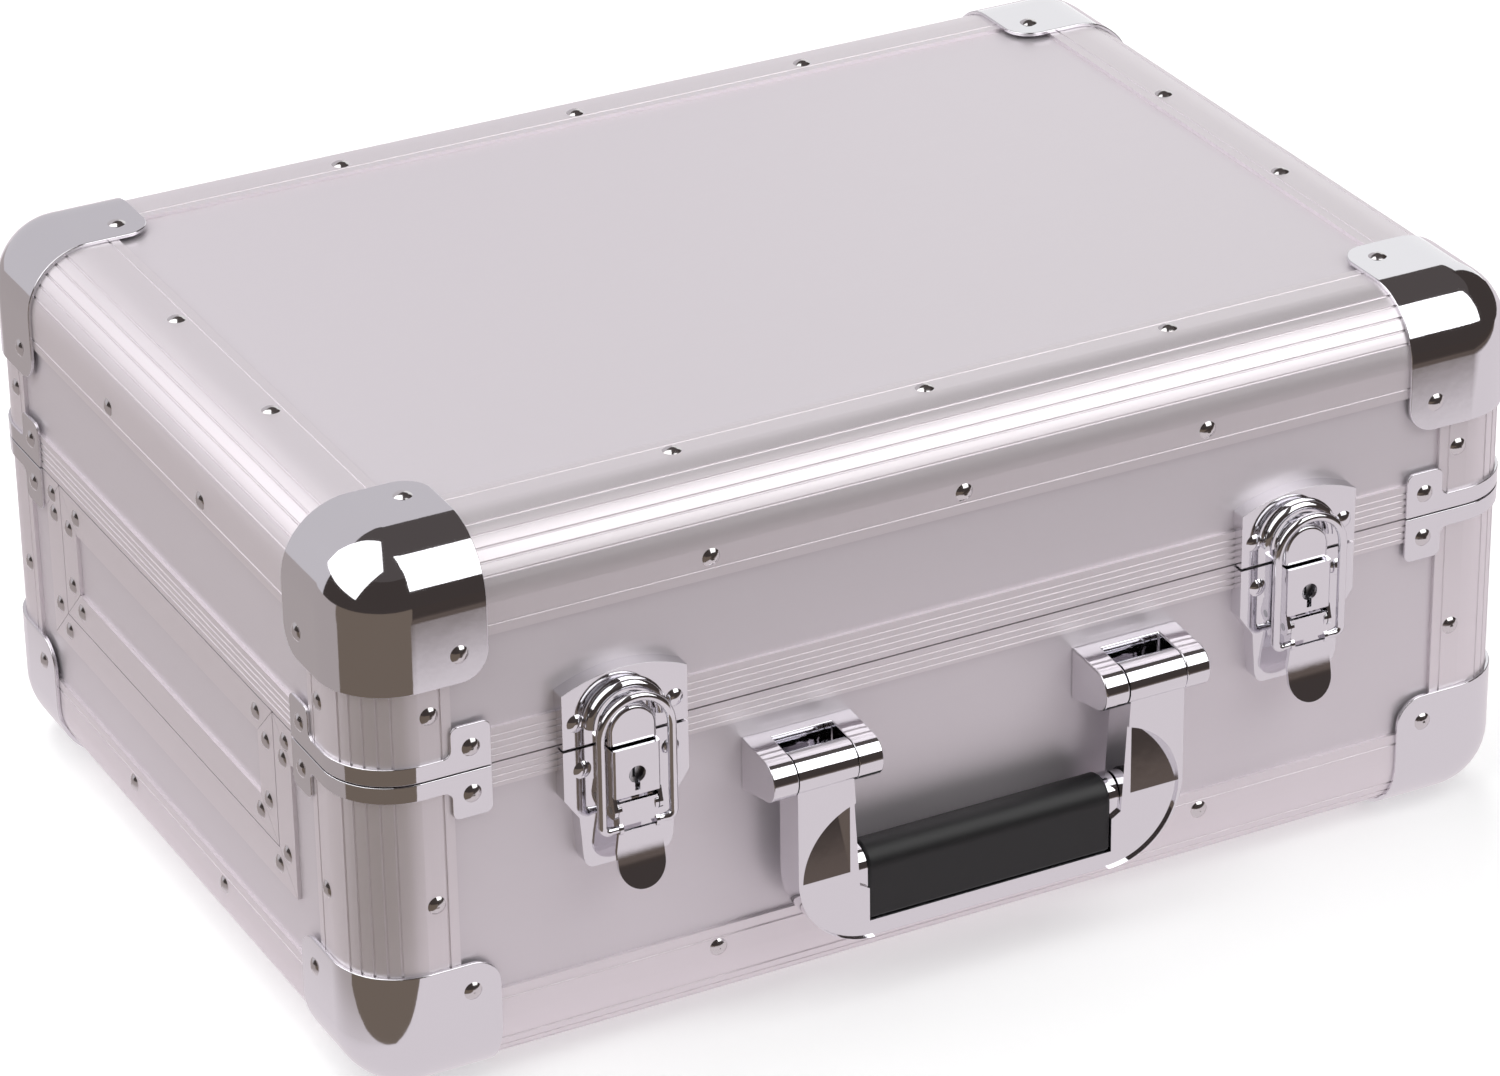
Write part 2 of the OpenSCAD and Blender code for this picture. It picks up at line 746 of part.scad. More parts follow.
panel_low = panel_z0 + strip_gap;
panel_top = seam_h - seam_gap / 2;
panel_front = panel_y0 + strip_gap;
panel_back = panel_y0 + panel_len - strip_gap;
module cable_panel_strips() placed() color("gainsboro") {
  strip_low(panel_front, panel_low, 0) strip(panel_back - panel_front, -1, -1) panel_profile();
  intersection() {
    union() {
      strip_end(panel_front, panel_low, 0) strip(panel_top - panel_low, -1, -1) panel_profile();
      strip_end(panel_back, panel_low, 1) strip(panel_top - panel_low, -1, -1) panel_profile();
    }
    translate([-case_w, 0, 0]) cube([case_w, case_d, panel_top]);
  }
  strip_low(panel_front, panel_top, 1) strip(panel_back - panel_front, -1, -1)
    intersection() {
      panel_profile();
      square(strip_w);
    }
}

module panel_sheet(t0, t1) {
  o = panel_web + slip;
  wall_x(0, panel_front + o, panel_back - o, panel_low + o, panel_top - o, t0, t1);
}
module cable_panel_board() placed() color("burlywood") panel_sheet(board_in, board_in + board_t);
module cable_panel_skin() placed() color("silver") panel_sheet(skin_in, board_in);

module left_rivet(y, z) translate([-case_w / 2, 0, 0]) on_x(y, z);

module cable_panel_rivets() placed() color("dimgray") {
  for (y = [panel_front + strip_rivet_in, panel_back - strip_rivet_in],
       z = [panel_low + strip_rivet_on, panel_top - strip_rivet_on]) left_rivet(y, z);
  for (y = [panel_front + strip_rivet_on, panel_back - strip_rivet_on],
       z = [panel_low + strip_rivet_in, panel_top - strip_rivet_in]) left_rivet(y, z);
}

module fixed_strip_rivets() {
  y0 = panel_y0 - strip_gap;
  y1 = panel_y0 + panel_len + strip_gap;
  low = panel_z0 - strip_gap - strip_w;
  for (y = [y0 - strip_rivet_in, y1 + strip_rivet_in],
       z = [low + strip_rivet_on, fixed_top - strip_rivet_on]) left_rivet(y, z);
  for (y = [y0 - strip_w + strip_rivet_on, y1 + strip_w - strip_rivet_on])
    left_rivet(y, low + strip_rivet_in);
  for (y = [(y0 + clamp_reach) / 2, (y1 + case_d - clamp_reach) / 2])
    left_rivet(y, fixed_top - strip_rivet_in);
}

// Hinges: leaves with alternate knuckles; the leaf steps in where it leaves the rim
knuckle_len = hinge_len / hinge_knuckles;
module hinge_leaf(x, lid) {
  s = lid ? 1 : -1;
  rim = lid ? lid_rim_h : base_rim_h;
  first = lid ? 1 : 0;
  clear = hinge_r + hinge_play;
  translate([x - hinge_len / 2, 0, 0]) difference() {
    union() {
      flip_z(lid) {
        translate([0, case_d, clear]) cube([hinge_len, leaf_t, leaf_h - clear]);
        translate([0, case_d - edge_t, rim + seam_gap])
          cube([hinge_len, edge_t + leaf_t / 2, leaf_h - rim - seam_gap]);
      }
      for (i = [first : 2 : hinge_knuckles - 1]) {
        near = i == 0 ? 0 : i * knuckle_len + hinge_play / 2;
        far = i == hinge_knuckles - 1 ? hinge_len : (i + 1) * knuckle_len - hinge_play / 2;
        translate([near, hinge_axis_y, seam_h]) rotate([0, 90, 0])
          cylinder(r = hinge_r, h = far - near);
        flip_z(lid) translate([near, case_d, 0]) cube([far - near, leaf_t, clear + leaf_t]);
      }
    }
    translate([-overrun, hinge_axis_y, seam_h]) rotate([0, 90, 0])
      cylinder(r = hinge_pin_r + hinge_pin_play, h = hinge_len + 2 * overrun);
  }
}

// Heights measured from the seam, upwards for the lid and downwards for the base
module flip_z(lid) translate([0, 0, seam_h]) mirror([0, 0, lid ? 0 : 1]) children();

module left_hinge_base_leaf() placed() color("silver") hinge_leaf(-hinge_x, false);
module right_hinge_base_leaf() placed() color("silver") hinge_leaf(hinge_x, false);
module left_hinge_lid_leaf() placed() color("silver") hinge_leaf(-hinge_x, true);
module right_hinge_lid_leaf() placed() color("silver") hinge_leaf(hinge_x, true);
module hinge_pins() placed() color("gray") {
  for (x = [-hinge_x, hinge_x]) translate([x - hinge_len / 2, hinge_axis_y, seam_h])
    rotate([0, 90, 0]) cylinder(r = hinge_pin_r, h = hinge_len);
}

// Handle mounts: two ears and a pocket between them, drawn as a side outline carried along x
module mount_side() {
  top_y = pin_z + knuckle_r;
  translate([pin_y, pin_z]) circle(knuckle_r);
  polygon([[skin_in, mount_bottom], [skin_in, mount_top], [0, mount_top], [pin_y, top_y],
    [pin_y, pin_z - knuckle_r]]);
}

module handle_mount(x) {
  gap = mount_w - 2 * mount_ear_w;
  translate([x - mount_w / 2, 0, 0]) difference() {
    along_x() linear_extrude(mount_w) mount_side();
    translate([mount_ear_w, pin_y - 2 * knuckle_r, mount_bottom - overrun])
      cube([gap, 2 * knuckle_r - pin_y - pocket_floor, mount_top - mount_bottom + 2 * overrun]);
    translate([pin_cover, pin_y, pin_z]) rotate([0, 90, 0])
      cylinder(r = handle_pin_r, h = mount_w - 2 * pin_cover);
  }
}
module left_handle_mount() placed() color("whitesmoke") handle_mount(-mount_x);
module right_handle_mount() placed() color("whitesmoke") handle_mount(mount_x);
module handle_pins() placed() color("gray") {
  for (x = [-mount_x, mount_x]) translate([x - mount_w / 2 + pin_cover, pin_y, pin_z])
    rotate([0, 90, 0]) cylinder(r = handle_pin_r, h = mount_w - 2 * pin_cover);
}

// The bow is drawn as its front outline, x across and y as the height above its lower edge
bow_low = pin_z - bow_drop;
bow_top_in = bow_w / 2 - arm_top_w;         // half the gap between the arms, at the pins
bow_in = bow_w / 2 - arm_low_w;             // and just above the collars
grip_half = bow_in - bow_step_w;            // half the length of the grip
module bow_outline() {
  difference() {
    translate([-bow_w / 2, 0]) square([bow_w, bow_drop]);
    for (s = [left, right]) translate([s * bow_w / 2, 0]) round_off(-s, 1, bow_round);
    polygon([[-bow_top_in, bow_drop], [-bow_top_in, bow_drop + overrun],
      [bow_top_in, bow_drop + overrun], [bow_top_in, bow_drop], [bow_in, bow_step_z + bow_step_rise],
      [grip_half, bow_step_z], [grip_half, bow_bar_h], [-grip_half, bow_bar_h],
      [-grip_half, bow_step_z], [-bow_in, bow_step_z + bow_step_rise]]);
  }
}

module handle_bow() placed() color("whitesmoke") {
  difference() {
    union() {
      translate([0, bow_front + bow_t, bow_low]) rotate([90, 0, 0]) linear_extrude(bow_t)
        bow_outline();
      for (s = [left, right]) {
        translate([s * mount_x - arm_w / 2, pin_y, pin_z]) rotate([0, 90, 0])
          cylinder(r = knuckle_r - slip, h = arm_w);
        translate([s == left ? -bow_in - slip : grip_half, 0, 0]) along_x()
          linear_extrude(bow_step_w + slip) collar_section();
      }
    }
    translate([-bow_w / 2 - overrun, pin_y, pin_z]) rotate([0, 90, 0])
      cylinder(r = handle_pin_r + pin_play, h = bow_w + 2 * overrun);
    for (m = [0, 1]) mirror([m, 0, 0]) {
      sunk_disc(dish_step);
      thumb_recess();
    }
    translate([bow_round - bow_w / 2, bow_front - overrun, bow_low - overrun])
      cube([bow_w - 2 * bow_round, dish_step + overrun, bow_step_z]);
  }
}

// The round part of the sunk face on the left: it meets the bow's outline at the lower edge
module sunk_disc(deep) {
  r = bow_round - dish_rim;
  translate([bow_round - bow_w / 2, bow_front + deep, bow_low + r])
    rotate([90, 0, 0]) cylinder(r = r, h = deep + overrun, $fn = 96);
}

// The recess for the thumb on the left arm: its floor starts deep below the knuckle and leans
// out to the sunk face
module thumb_recess() {
  lean = atan((dish_deep - dish_step) / (2 * (bow_round - dish_rim) - dish_low));
  intersection() {
    sunk_disc(dish_deep);
    translate([-bow_w, bow_front + dish_step, bow_low + dish_low]) rotate([-lean, 0, 0])
      translate([0, -bow_t, 0]) cube([bow_w - bow_top_in - dish_lip, bow_t, bow_drop]);
  }
}

// The part of the grip's section that the collars keep, above their seats on the bow
module collar_section() {
  intersection() {
    translate([0, bow_low + bow_bar_h]) grip_section(collar_t);
    translate([bow_front, bow_low + bow_step_z - slip]) square([-bow_front, grip_h]);
  }
}

// Rounded bar under the hand: flat where it sits on the bow, round towards the case's lid
module grip_section(o = 0) {
  r = grip_t / 2 - o;
  middle = grip_back - grip_t / 2;
  translate([middle, grip_h - grip_t / 2]) circle(r);
  translate([middle - r, 0]) square([2 * r, grip_h - grip_t / 2]);
}

module handle_grip() placed() color("black") {
  low = bow_low + bow_bar_h + slip;
  translate([-grip_half + slip, 0, low]) along_x() linear_extrude(2 * (grip_half - slip))
    grip_section();
}

// Latches, drawn about x = 0 with y outwards negative and z measured from the seam
module at_latch(s) translate([s * latch_x, 0, seam_h]) children();

module strike_outline(o = 0) {
  half = latch_w / 2 - o;
  r = (latch_w * latch_w / 4 + strike_crown * strike_crown) / (2 * strike_crown);
  intersection() {
    translate([-half, strike_foot]) square([2 * half, strike_side_h + strike_crown]);
    translate([0, strike_side_h + strike_crown - r]) circle(r - o);
  }
}

module tray_outline(o = 0) {
  difference() {
    polygon([for (s = [left, right], p = s == left ?
      [[latch_w, tray_top], [latch_w, tray_shoulder], [tray_waist_w, tray_waist],
       [tray_bottom_w, tray_bottom]] :
      [[tray_bottom_w, tray_bottom], [tray_waist_w, tray_waist], [latch_w, tray_shoulder],
       [latch_w, tray_top]]) [s * (p.x / 2 - o), p.y == tray_bottom ? p.y + o : p.y]]);
    for (s = [left, right]) translate([s * (tray_bottom_w / 2 - o), tray_bottom + o])
      round_off(-s, 1, tray_round);
  }
}

// A shallow pressed tray: the outline as a face, with a wall back to the case all round
module pressed_tray(rim_z0, rim_z1) {
  difference() {
    translate([0, skin_in, 0]) rotate([90, 0, 0]) linear_extrude(skin_in + latch_proud)
      children(0);
    translate([0, skin_in + overrun, 0]) rotate([90, 0, 0])
      linear_extrude(skin_in + overrun + latch_proud - plate_wall) children(1);
    translate([-latch_w, 0, rim_z0]) cube([2 * latch_w, 2 * skin_in, rim_z1 - rim_z0]);
  }
}

// A bump of round section, bent round an arch in the plane of the latch
module arch_rib(r, w, proud) {
  rotate([90, 0, 0]) rotate_extrude(angle = 180) translate([r, 0]) intersection() {
    dome_section(w, proud);
    translate([-w, 0]) square([2 * w, proud]);
  }
}

module dome_section(w, h) {
  r = (w * w / 4 + h * h) / (2 * h);
  translate([0, h - r]) circle(r);
}

module boss_half_section(w, back, proud) {
  difference() {
    translate([0, back]) square([w, proud - back]);
    translate([w, proud]) round_off(-1, -1, boss_round);
  }
}

module latch_strike(s) at_latch(s) {
  difference() {
    union() {
      pressed_tray(-overrun, lid_rim_h + seam_gap) {
        strike_outline();
        strike_outline(plate_wall);
      }
      translate([0, -latch_proud, hump_z]) arch_rib(hump_r - hump_w / 2, hump_w,
        hump_proud - latch_proud);
      translate([0, 0, boss_z]) rotate([90, 0, 0]) rotate_extrude(angle = 180)
        boss_half_section(boss_r, latch_proud - plate_wall / 2, boss_proud);
      for (m = [0, 1]) mirror([m, 0, 0]) translate([0, 0, strike_foot]) mirror([0, 1, 0])
        linear_extrude(boss_z - strike_foot)
          boss_half_section(boss_r, latch_proud - plate_wall / 2, boss_proud);
    }
    translate([-boss_r + lock_wall, -boss_proud + lock_wall, 0])
      cube([2 * (boss_r - lock_wall), boss_proud, boss_z]);
  }
  for (x = [-strike_rivet_x, strike_rivet_x])
    translate([x, 0, strike_rivet_z]) on_y(0, 0, latch_proud);
}

module latch_base(s) at_latch(s) {
  difference() {
    union() {
      pressed_tray(-base_rim_h - seam_gap, 0) {
        tray_outline();
        tray_outline(plate_wall);
      }
      mirror([0, 1, 0]) translate([0, 0, lock_bottom]) linear_extrude(lock_top - lock_bottom)
        for (m = [0, 1]) mirror([m, 0, 0])
          boss_half_section(lock_w / 2, latch_proud - plate_wall / 2, lock_proud);
      for (x = [-lock_w / 2, lock_w / 2 - ear_t]) translate([x, 0, 0]) along_x()
        linear_extrude(ear_t) {
          translate([lever_y, lever_z]) circle(ear_r);
          polygon([[lever_y - ear_r, lever_z], [lever_y - ear_r / 2, lock_bottom + overrun],
            [-latch_proud + plate_wall / 2, lock_bottom + overrun],
            [-latch_proud + plate_wall / 2, lever_z - ear_r], [lever_y, lever_z - ear_r]]);
        }
    }
    translate([-lock_w / 2 + lock_wall, -lock_proud + lock_wall, lock_bottom - overrun])
      cube([lock_w - 2 * lock_wall, lock_proud - lock_wall - latch_proud,
        lock_top - lock_bottom - lock_wall + overrun]);
    translate([0, 0, keyhole_z]) rotate([90, 0, 0]) linear_extrude(lock_proud + overrun) {
      circle(keyhole_r);
      translate([-keyway_w / 2, -keyway_l]) square([keyway_w, keyway_l]);
    }
    translate([-lock_w, lever_y, lever_z]) rotate([0, 90, 0])
      cylinder(r = lever_pin_r, h = 2 * lock_w);
  }
  for (x = [-tray_rivet_x, tray_rivet_x])
    translate([x, 0, tray_rivet_z]) on_y(0, 0, latch_proud);
}

// The lever: a bent plate with a rounded tip, and two cheeks that carry the pin and the bail
module latch_lever(s) at_latch(s) {
  cheek_x = lock_w / 2 - ear_t - ear_gap;
  side = [[lever_top_y, lever_top_z], [lever_knee_y, lever_knee_z], [lever_bend_y, lever_bend_z],
    [lever_tip_y, lever_tip_z]];
  plate = concat(side, [for (i = [3 : -1 : 0]) side[i] + [lever_t, 0]]);
  difference() {
    union() {
      intersection() {
        translate([-lever_wide_w, 0, 0]) along_x() linear_extrude(2 * lever_wide_w)
          polygon(plate);
        translate([0, overrun, 0]) rotate([90, 0, 0]) linear_extrude(2 * lock_proud)
          lever_outline();
      }
      for (x = [-cheek_x, cheek_x - ear_t]) translate([x, 0, 0]) along_x()
        linear_extrude(ear_t) {
          translate([lever_y, lever_z]) circle(ear_r - slip);
          translate([bail_y + lever_t / 2, bail_z]) circle(ear_r - lever_t / 2);
          polygon([side[0] + [lever_t / 2, 0], [lever_y + ear_r / 2, lever_z + ear_r / 2],
            [lever_y + ear_r - slip, lever_z], [bail_y + ear_r, bail_z],
            side[1] + [lever_t, ear_r], side[1] + [lever_t / 2, ear_r]]);
        }
    }
    translate([-lock_w, lever_y, lever_z]) rotate([0, 90, 0])
      cylinder(r = lever_pin_r + pin_play, h = 2 * lock_w);
    translate([-lock_w, bail_y, bail_z]) rotate([0, 90, 0])
      cylinder(r = bail_wire_r - lever_t / 4 + pin_play, h = 2 * lock_w);
  }
}

module lever_outline() {
  r = lever_wide_w / 2;
  translate([0, lever_tip_z + r]) circle(r);
  polygon([[-r, lever_tip_z + r], [-r, lever_knee_z], [-lever_neck_w / 2, lever_neck_z],
    [-lever_neck_w / 2, lever_top_z], [lever_neck_w / 2, lever_top_z],
    [lever_neck_w / 2, lever_neck_z], [r, lever_knee_z], [r, lever_tip_z + r]]);
}

// The bail: one wire bent to an arch, with its ends turned in through the lever's cheeks
module latch_bail(s) at_latch(s) translate([0, bail_y, 0]) {
  foot_r = bail_wire_r - lever_t / 4;
  inner = lock_w / 2 - ear_t - ear_gap - ear_t;
  translate([0, 0, boss_z]) rotate([90, 0, 0]) rotate_extrude(angle = 180)
    translate([bail_r, 0]) circle(bail_wire_r);
  for (x = [-bail_r, bail_r]) translate([x, 0, bail_z]) {
    cylinder(r = bail_wire_r, h = boss_z - bail_z);
    sphere(r = bail_wire_r);
  }
  for (m = [0, 1]) mirror([m, 0, 0]) translate([inner, 0, bail_z]) rotate([0, 90, 0])
    cylinder(r = foot_r, h = bail_r - inner);
}

module left_latch_strike() placed() color("whitesmoke") latch_strike(left);
module right_latch_strike() placed() color("whitesmoke") latch_strike(right);
module left_latch_base() placed() color("whitesmoke") latch_base(left);
module right_latch_base() placed() color("whitesmoke") latch_base(right);
module left_latch_lever() placed() color("white") latch_lever(left);
module right_latch_lever() placed() color("white") latch_lever(right);
module left_latch_bail() placed() color("white") latch_bail(left);
module right_latch_bail() placed() color("white") latch_bail(right);
module latch_pins() placed() color("gray") {
  for (s = [left, right]) at_latch(s) translate([-lock_w / 2, lever_y, lever_z])
    rotate([0, 90, 0]) cylinder(r = lever_pin_r, h = lock_w);
}
module latch_locks() placed() color("dimgray") {
  for (s = [left, right]) at_latch(s) difference() {
    translate([0, -latch_proud, keyhole_z]) rotate([90, 0, 0])
      cylinder(r = barrel_r, h = lock_proud - barrel_back - latch_proud);
    translate([-keyway_w / 4, -lock_proud, keyhole_z - barrel_r / 2])
      cube([keyway_w / 2, 2 * barrel_back, barrel_r]);
  }
}

base_bottom_board();
base_front_board();
base_back_board();
base_left_board();
base_right_board();
base_skins();
base_front_edge();
base_back_edge();
base_left_edge();
base_right_edge();
base_posts();
base_rims();
base_ball_corners();
base_seam_clamps();
base_rivets();
base_lining();
base_feet();
cable_frame();
cable_panel_board();
cable_panel_skin();
cable_panel_strips();
cable_panel_rivets();
lid_top_board();
lid_front_board();
lid_back_board();
lid_left_board();
lid_right_board();
lid_skins();
lid_front_edge();
lid_back_edge();
lid_left_edge();
lid_right_edge();
lid_posts();
lid_rims();
lid_ball_corners();
lid_seam_clamps();
lid_rivets();
lid_lining();
lid_feet();
left_hinge_base_leaf();
right_hinge_base_leaf();
left_hinge_lid_leaf();
right_hinge_lid_leaf();
hinge_pins();
left_handle_mount();
right_handle_mount();
handle_pins();
handle_bow();
handle_grip();
left_latch_base();
right_latch_base();
left_latch_strike();
right_latch_strike();
left_latch_lever();
right_latch_lever();
left_latch_bail();
right_latch_bail();
latch_pins();
latch_locks();
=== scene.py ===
"""A flight case for a cd player: the finishes and fine pieces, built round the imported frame."""

import json
import logging
import math
from dataclasses import dataclass, field
from enum import Enum

import bmesh
import bpy
import numpy as np
from mathutils import Matrix, Vector


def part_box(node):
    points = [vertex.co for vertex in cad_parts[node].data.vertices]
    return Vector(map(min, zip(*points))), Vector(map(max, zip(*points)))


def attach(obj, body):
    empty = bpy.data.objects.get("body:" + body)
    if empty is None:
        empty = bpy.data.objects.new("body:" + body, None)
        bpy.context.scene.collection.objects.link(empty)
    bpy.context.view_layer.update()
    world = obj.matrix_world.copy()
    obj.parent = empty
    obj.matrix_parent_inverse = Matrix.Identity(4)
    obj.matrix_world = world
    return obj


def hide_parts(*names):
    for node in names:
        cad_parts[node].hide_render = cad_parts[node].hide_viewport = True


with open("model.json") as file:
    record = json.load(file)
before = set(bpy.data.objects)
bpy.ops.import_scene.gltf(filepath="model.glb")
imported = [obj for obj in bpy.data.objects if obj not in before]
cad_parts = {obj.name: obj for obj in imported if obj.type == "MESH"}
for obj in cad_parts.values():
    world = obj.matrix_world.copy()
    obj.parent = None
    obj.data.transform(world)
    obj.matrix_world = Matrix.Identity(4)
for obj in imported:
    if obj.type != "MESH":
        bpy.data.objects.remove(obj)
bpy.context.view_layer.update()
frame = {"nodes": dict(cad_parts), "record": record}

log = logging.getLogger("flight_case")

Triple = tuple[float, float, float]

MM = 0.001
BODY_OF = {node: body for body, nodes in frame["record"]["behaviour"]["bodies"].items() for node in nodes}

WELD = 0.002 * MM       # points closer than this are one point
NO_LENGTH = 1e-9        # keeps a division by a length away from zero
NO_NORMAL = 1e-12       # the same for a sum of normals
FLAT_DEG = 0.4          # faces that turn less than this are one flat face
SHARP_DEG = 35.0        # edges that turn more than this are rounded
BLEND_DEG = 32.0        # faces that turn less than this are shaded as one surface
ROUND_BLEND_DEG = 40.0  # the same for the pieces that are built here from points
BEVEL_STEPS = 3         # flat steps across a broken edge
BEVEL_ROUND = 0.5       # the bevel profile that is a part of a circle

# the Mix node's sockets are found by number, because their names repeat
MIX_FLOATS = (2, 3)
MIX_COLOURS = (6, 7)
MIX_COLOUR_OUT = 2


class Slot(Enum):
    """The record's material slots."""

    PROFILE = "aluminium_profile"
    SHEET = "aluminium_sheet"
    PLYWOOD = "plywood"
    CHROME = "chrome"
    RIVET = "rivet_steel"
    HINGE = "hinge_steel"
    FOAM = "foam"
    GRIP = "grip_plastic"
    RUBBER = "foot_rubber"


class Along(Enum):
    """The way that a drawn or rolled grain runs. The first three are also the numbers of the axes."""

    X = 0
    Y = 1
    Z = 2
    ROUND = 3


def linear(hex_colour: str) -> tuple[float, float, float, float]:
    """Turns an sRGB colour written as hex into linear light, by the standard's own curve.

    Args:
        hex_colour: six hex digits, with or without a hash.

    Returns:
        Red, green, blue and an alpha of one.
    """
    digits = hex_colour.lstrip("#")
    values = []
    for start in (0, 2, 4):
        c = int(digits[start:start + 2], 16) / 255
        values.append(c / 12.92 if c <= 0.04045 else ((c + 0.055) / 1.055) ** 2.4)
    return (*values, 1.0)


WHITE = linear("#FFFFFF")


def clear_tree(owner: bpy.types.Material | bpy.types.World) -> bpy.types.NodeTree:
    """Turns on the nodes of a material or world and empties its tree.

    Args:
        owner: the material or world.

    Returns:
        The empty node tree.
    """
    owner.use_nodes = True
    owner.node_tree.nodes.clear()
    return owner.node_tree


def add_node(tree: bpy.types.NodeTree, kind: str, links: dict | None = None, settings: dict | None = None,
             **values: object) -> bpy.types.Node:
    """Adds a shader node with its settings, values and links.

    Args:
        tree: the node tree that gets the node.
        kind: Blender's name of the node type, without ShaderNode.
        links: input name or number to the output socket that feeds it.
        settings: properties of the node itself.
        **values: input values by socket name, with underscores for spaces.

    Returns:
        The new node.
    """
    node = tree.nodes.new("ShaderNode" + kind)
    for name, value in (settings or {}).items():
        setattr(node, name, value)
    for name, value in values.items():
        node.inputs[name.replace("_", " ")].default_value = value
    for name, socket in (links or {}).items():
        tree.links.new(socket, node.inputs[name])
    return node


def smooth_ramp(tree: bpy.types.NodeTree, value: bpy.types.NodeSocket, start: float, end: float,
                low: float = 0.0, high: float = 1.0) -> bpy.types.NodeSocket:
    """A smooth step from low to high while a value goes from start to end.

    Args:
        tree: the node tree.
        value: what the step follows.
        start: the value up to which it is low.
        end: the value from which it is high.
        low: the result before the step.
        high: the result after it.

    Returns:
        The result.
    """
    return add_node(tree, "MapRange", {"Value": value}, {"interpolation_type": "SMOOTHSTEP"}, From_Min=start,
                    From_Max=end, To_Min=low, To_Max=high).outputs[0]


def pattern(tree: bpy.types.NodeTree, kind: str, size_mm: float, output: str) -> bpy.types.NodeSocket:
    """A noise or cell texture in the piece's own coordinates.

    Args:
        tree: the node tree.
        kind: Blender's name of the texture node, without ShaderNode.
        size_mm: the size of a grain or cell.
        output: the texture's output that is wanted.

    Returns:
        That output.
    """
    coords = add_node(tree, "TexCoord")
    texture = add_node(tree, kind, {"Vector": coords.outputs["Object"]}, Scale=1 / (size_mm * MM))
    return texture.outputs[output]


def raise_surface(tree: bpy.types.NodeTree, shader: bpy.types.Node, height: bpy.types.NodeSocket,
                  relief_mm: float) -> None:
    """Shades a shader as if its surface were raised by a height.

    Args:
        tree: the node tree.
        shader: the shader node.
        height: the height, from zero to one.
        relief_mm: how far one is above zero.
    """
    bump = add_node(tree, "Bump", {"Height": height}, Distance=relief_mm * MM, Strength=1.0)
    tree.links.new(bump.outputs[0], shader.inputs["Normal"])


def vary_roughness(tree: bpy.types.NodeTree, shader: bpy.types.Node, value: bpy.types.NodeSocket,
                   middle: float, spread: float) -> None:
    """Lets a shader's roughness follow a value.

    Args:
        tree: the node tree.
        shader: the shader node.
        value: what the roughness follows, from zero to one.
        middle: the mean roughness.
        spread: how far it goes to each side of the mean.
    """
    rough = add_node(tree, "MapRange", {"Value": value}, To_Min=middle - spread, To_Max=middle + spread)
    tree.links.new(rough.outputs[0], shader.inputs["Roughness"])


@dataclass(frozen=True)
class Finish:
    """A surface finish: one principled shader with fine relief in real millimetres."""

    name: str
    colour: str
    roughness: float = 0.4
    metallic: float = 0.0

    def build(self) -> bpy.types.Material:
        """Makes the material once and returns it after that."""
        made = bpy.data.materials.get(self.name)
        if made is not None:
            return made
        material = bpy.data.materials.new(self.name)
        tree = clear_tree(material)
        shader = add_node(tree, "BsdfPrincipled", Base_Color=linear(self.colour), Roughness=self.roughness,
                          Metallic=self.metallic)
        add_node(tree, "OutputMaterial", {"Surface": shader.outputs[0]})
        self.dress(tree, shader)
        return material

    def dress(self, tree: bpy.types.NodeTree, shader: bpy.types.Node) -> None:
        """Adds the relief and the changes of colour or roughness of this finish.

        Args:
            tree: the material's node tree.
            shader: its principled shader.
        """


@dataclass(frozen=True)
class DrawnAluminium(Finish):
    """Satin anodised aluminium: faint die or rolling lines run along the drawn length."""

    along: Along = Along.X
    line_mm: float = 0.35
    line_length: float = 90.0
    relief_mm: float = 0.012
    end_wall_mm: float = 215.0
    spread: float = 0.05

    def grain(self, tree: bpy.types.NodeTree, coords: bpy.types.NodeSocket,
              along: Along) -> bpy.types.NodeSocket:
        """Noise that is fine across the draw and long along it.

        Args:
            tree: the material's node tree.
            coords: the piece's own coordinates.
            along: the axis of the draw.

        Returns:
            The noise.
        """
        scale = [1.0 / (self.line_mm * MM)] * 3
        scale[along.value] /= self.line_length
        mapping = add_node(tree, "Mapping", {"Vector": coords}, Scale=scale)
        noise = add_node(tree, "TexNoise", {"Vector": mapping.outputs[0]}, Scale=1.0, Detail=2.0)
        return noise.outputs["Fac"]

    def dress(self, tree: bpy.types.NodeTree, shader: bpy.types.Node) -> None:
        """Lifts the surface by the grain, and shades the roughness by a few hundredths.

        What runs round the case is drawn along X, and along Y beyond the end walls.

        Args:
            tree: the material's node tree.
            shader: its principled shader.
        """
        coords = add_node(tree, "TexCoord").outputs["Object"]
        if self.along is Along.ROUND:
            place = add_node(tree, "SeparateXYZ", {0: coords})
            side = add_node(tree, "Math", {0: place.outputs["X"]}, {"operation": "ABSOLUTE"})
            ends = add_node(tree, "Math", {0: side.outputs[0]}, {"operation": "GREATER_THAN"})
            ends.inputs[1].default_value = self.end_wall_mm * MM
            grains = {socket: self.grain(tree, coords, along)
                      for socket, along in zip(MIX_FLOATS, (Along.X, Along.Y))}
            lines = add_node(tree, "Mix", {0: ends.outputs[0], **grains}).outputs[0]
        else:
            lines = self.grain(tree, coords, self.along)
        raise_surface(tree, shader, lines, self.relief_mm)
        vary_roughness(tree, shader, lines, self.roughness, self.spread)


@dataclass(frozen=True)
class Plated(Finish):
    """Bright plated steel: near mirror, with the slight waviness of pressed metal under thin plate."""

    metallic: float = 1.0
    wave_mm: float = 9.0
    relief_mm: float = 0.02
    spread: float = 0.03

    def dress(self, tree: bpy.types.NodeTree, shader: bpy.types.Node) -> None:
        """One slow noise bends the reflections a little and dulls the plate in patches.

        Args:
            tree: the material's node tree.
            shader: its principled shader.
        """
        wave = pattern(tree, "TexNoise", self.wave_mm, "Fac")
        raise_surface(tree, shader, wave, self.relief_mm)
        vary_roughness(tree, shader, wave, self.roughness, self.spread)


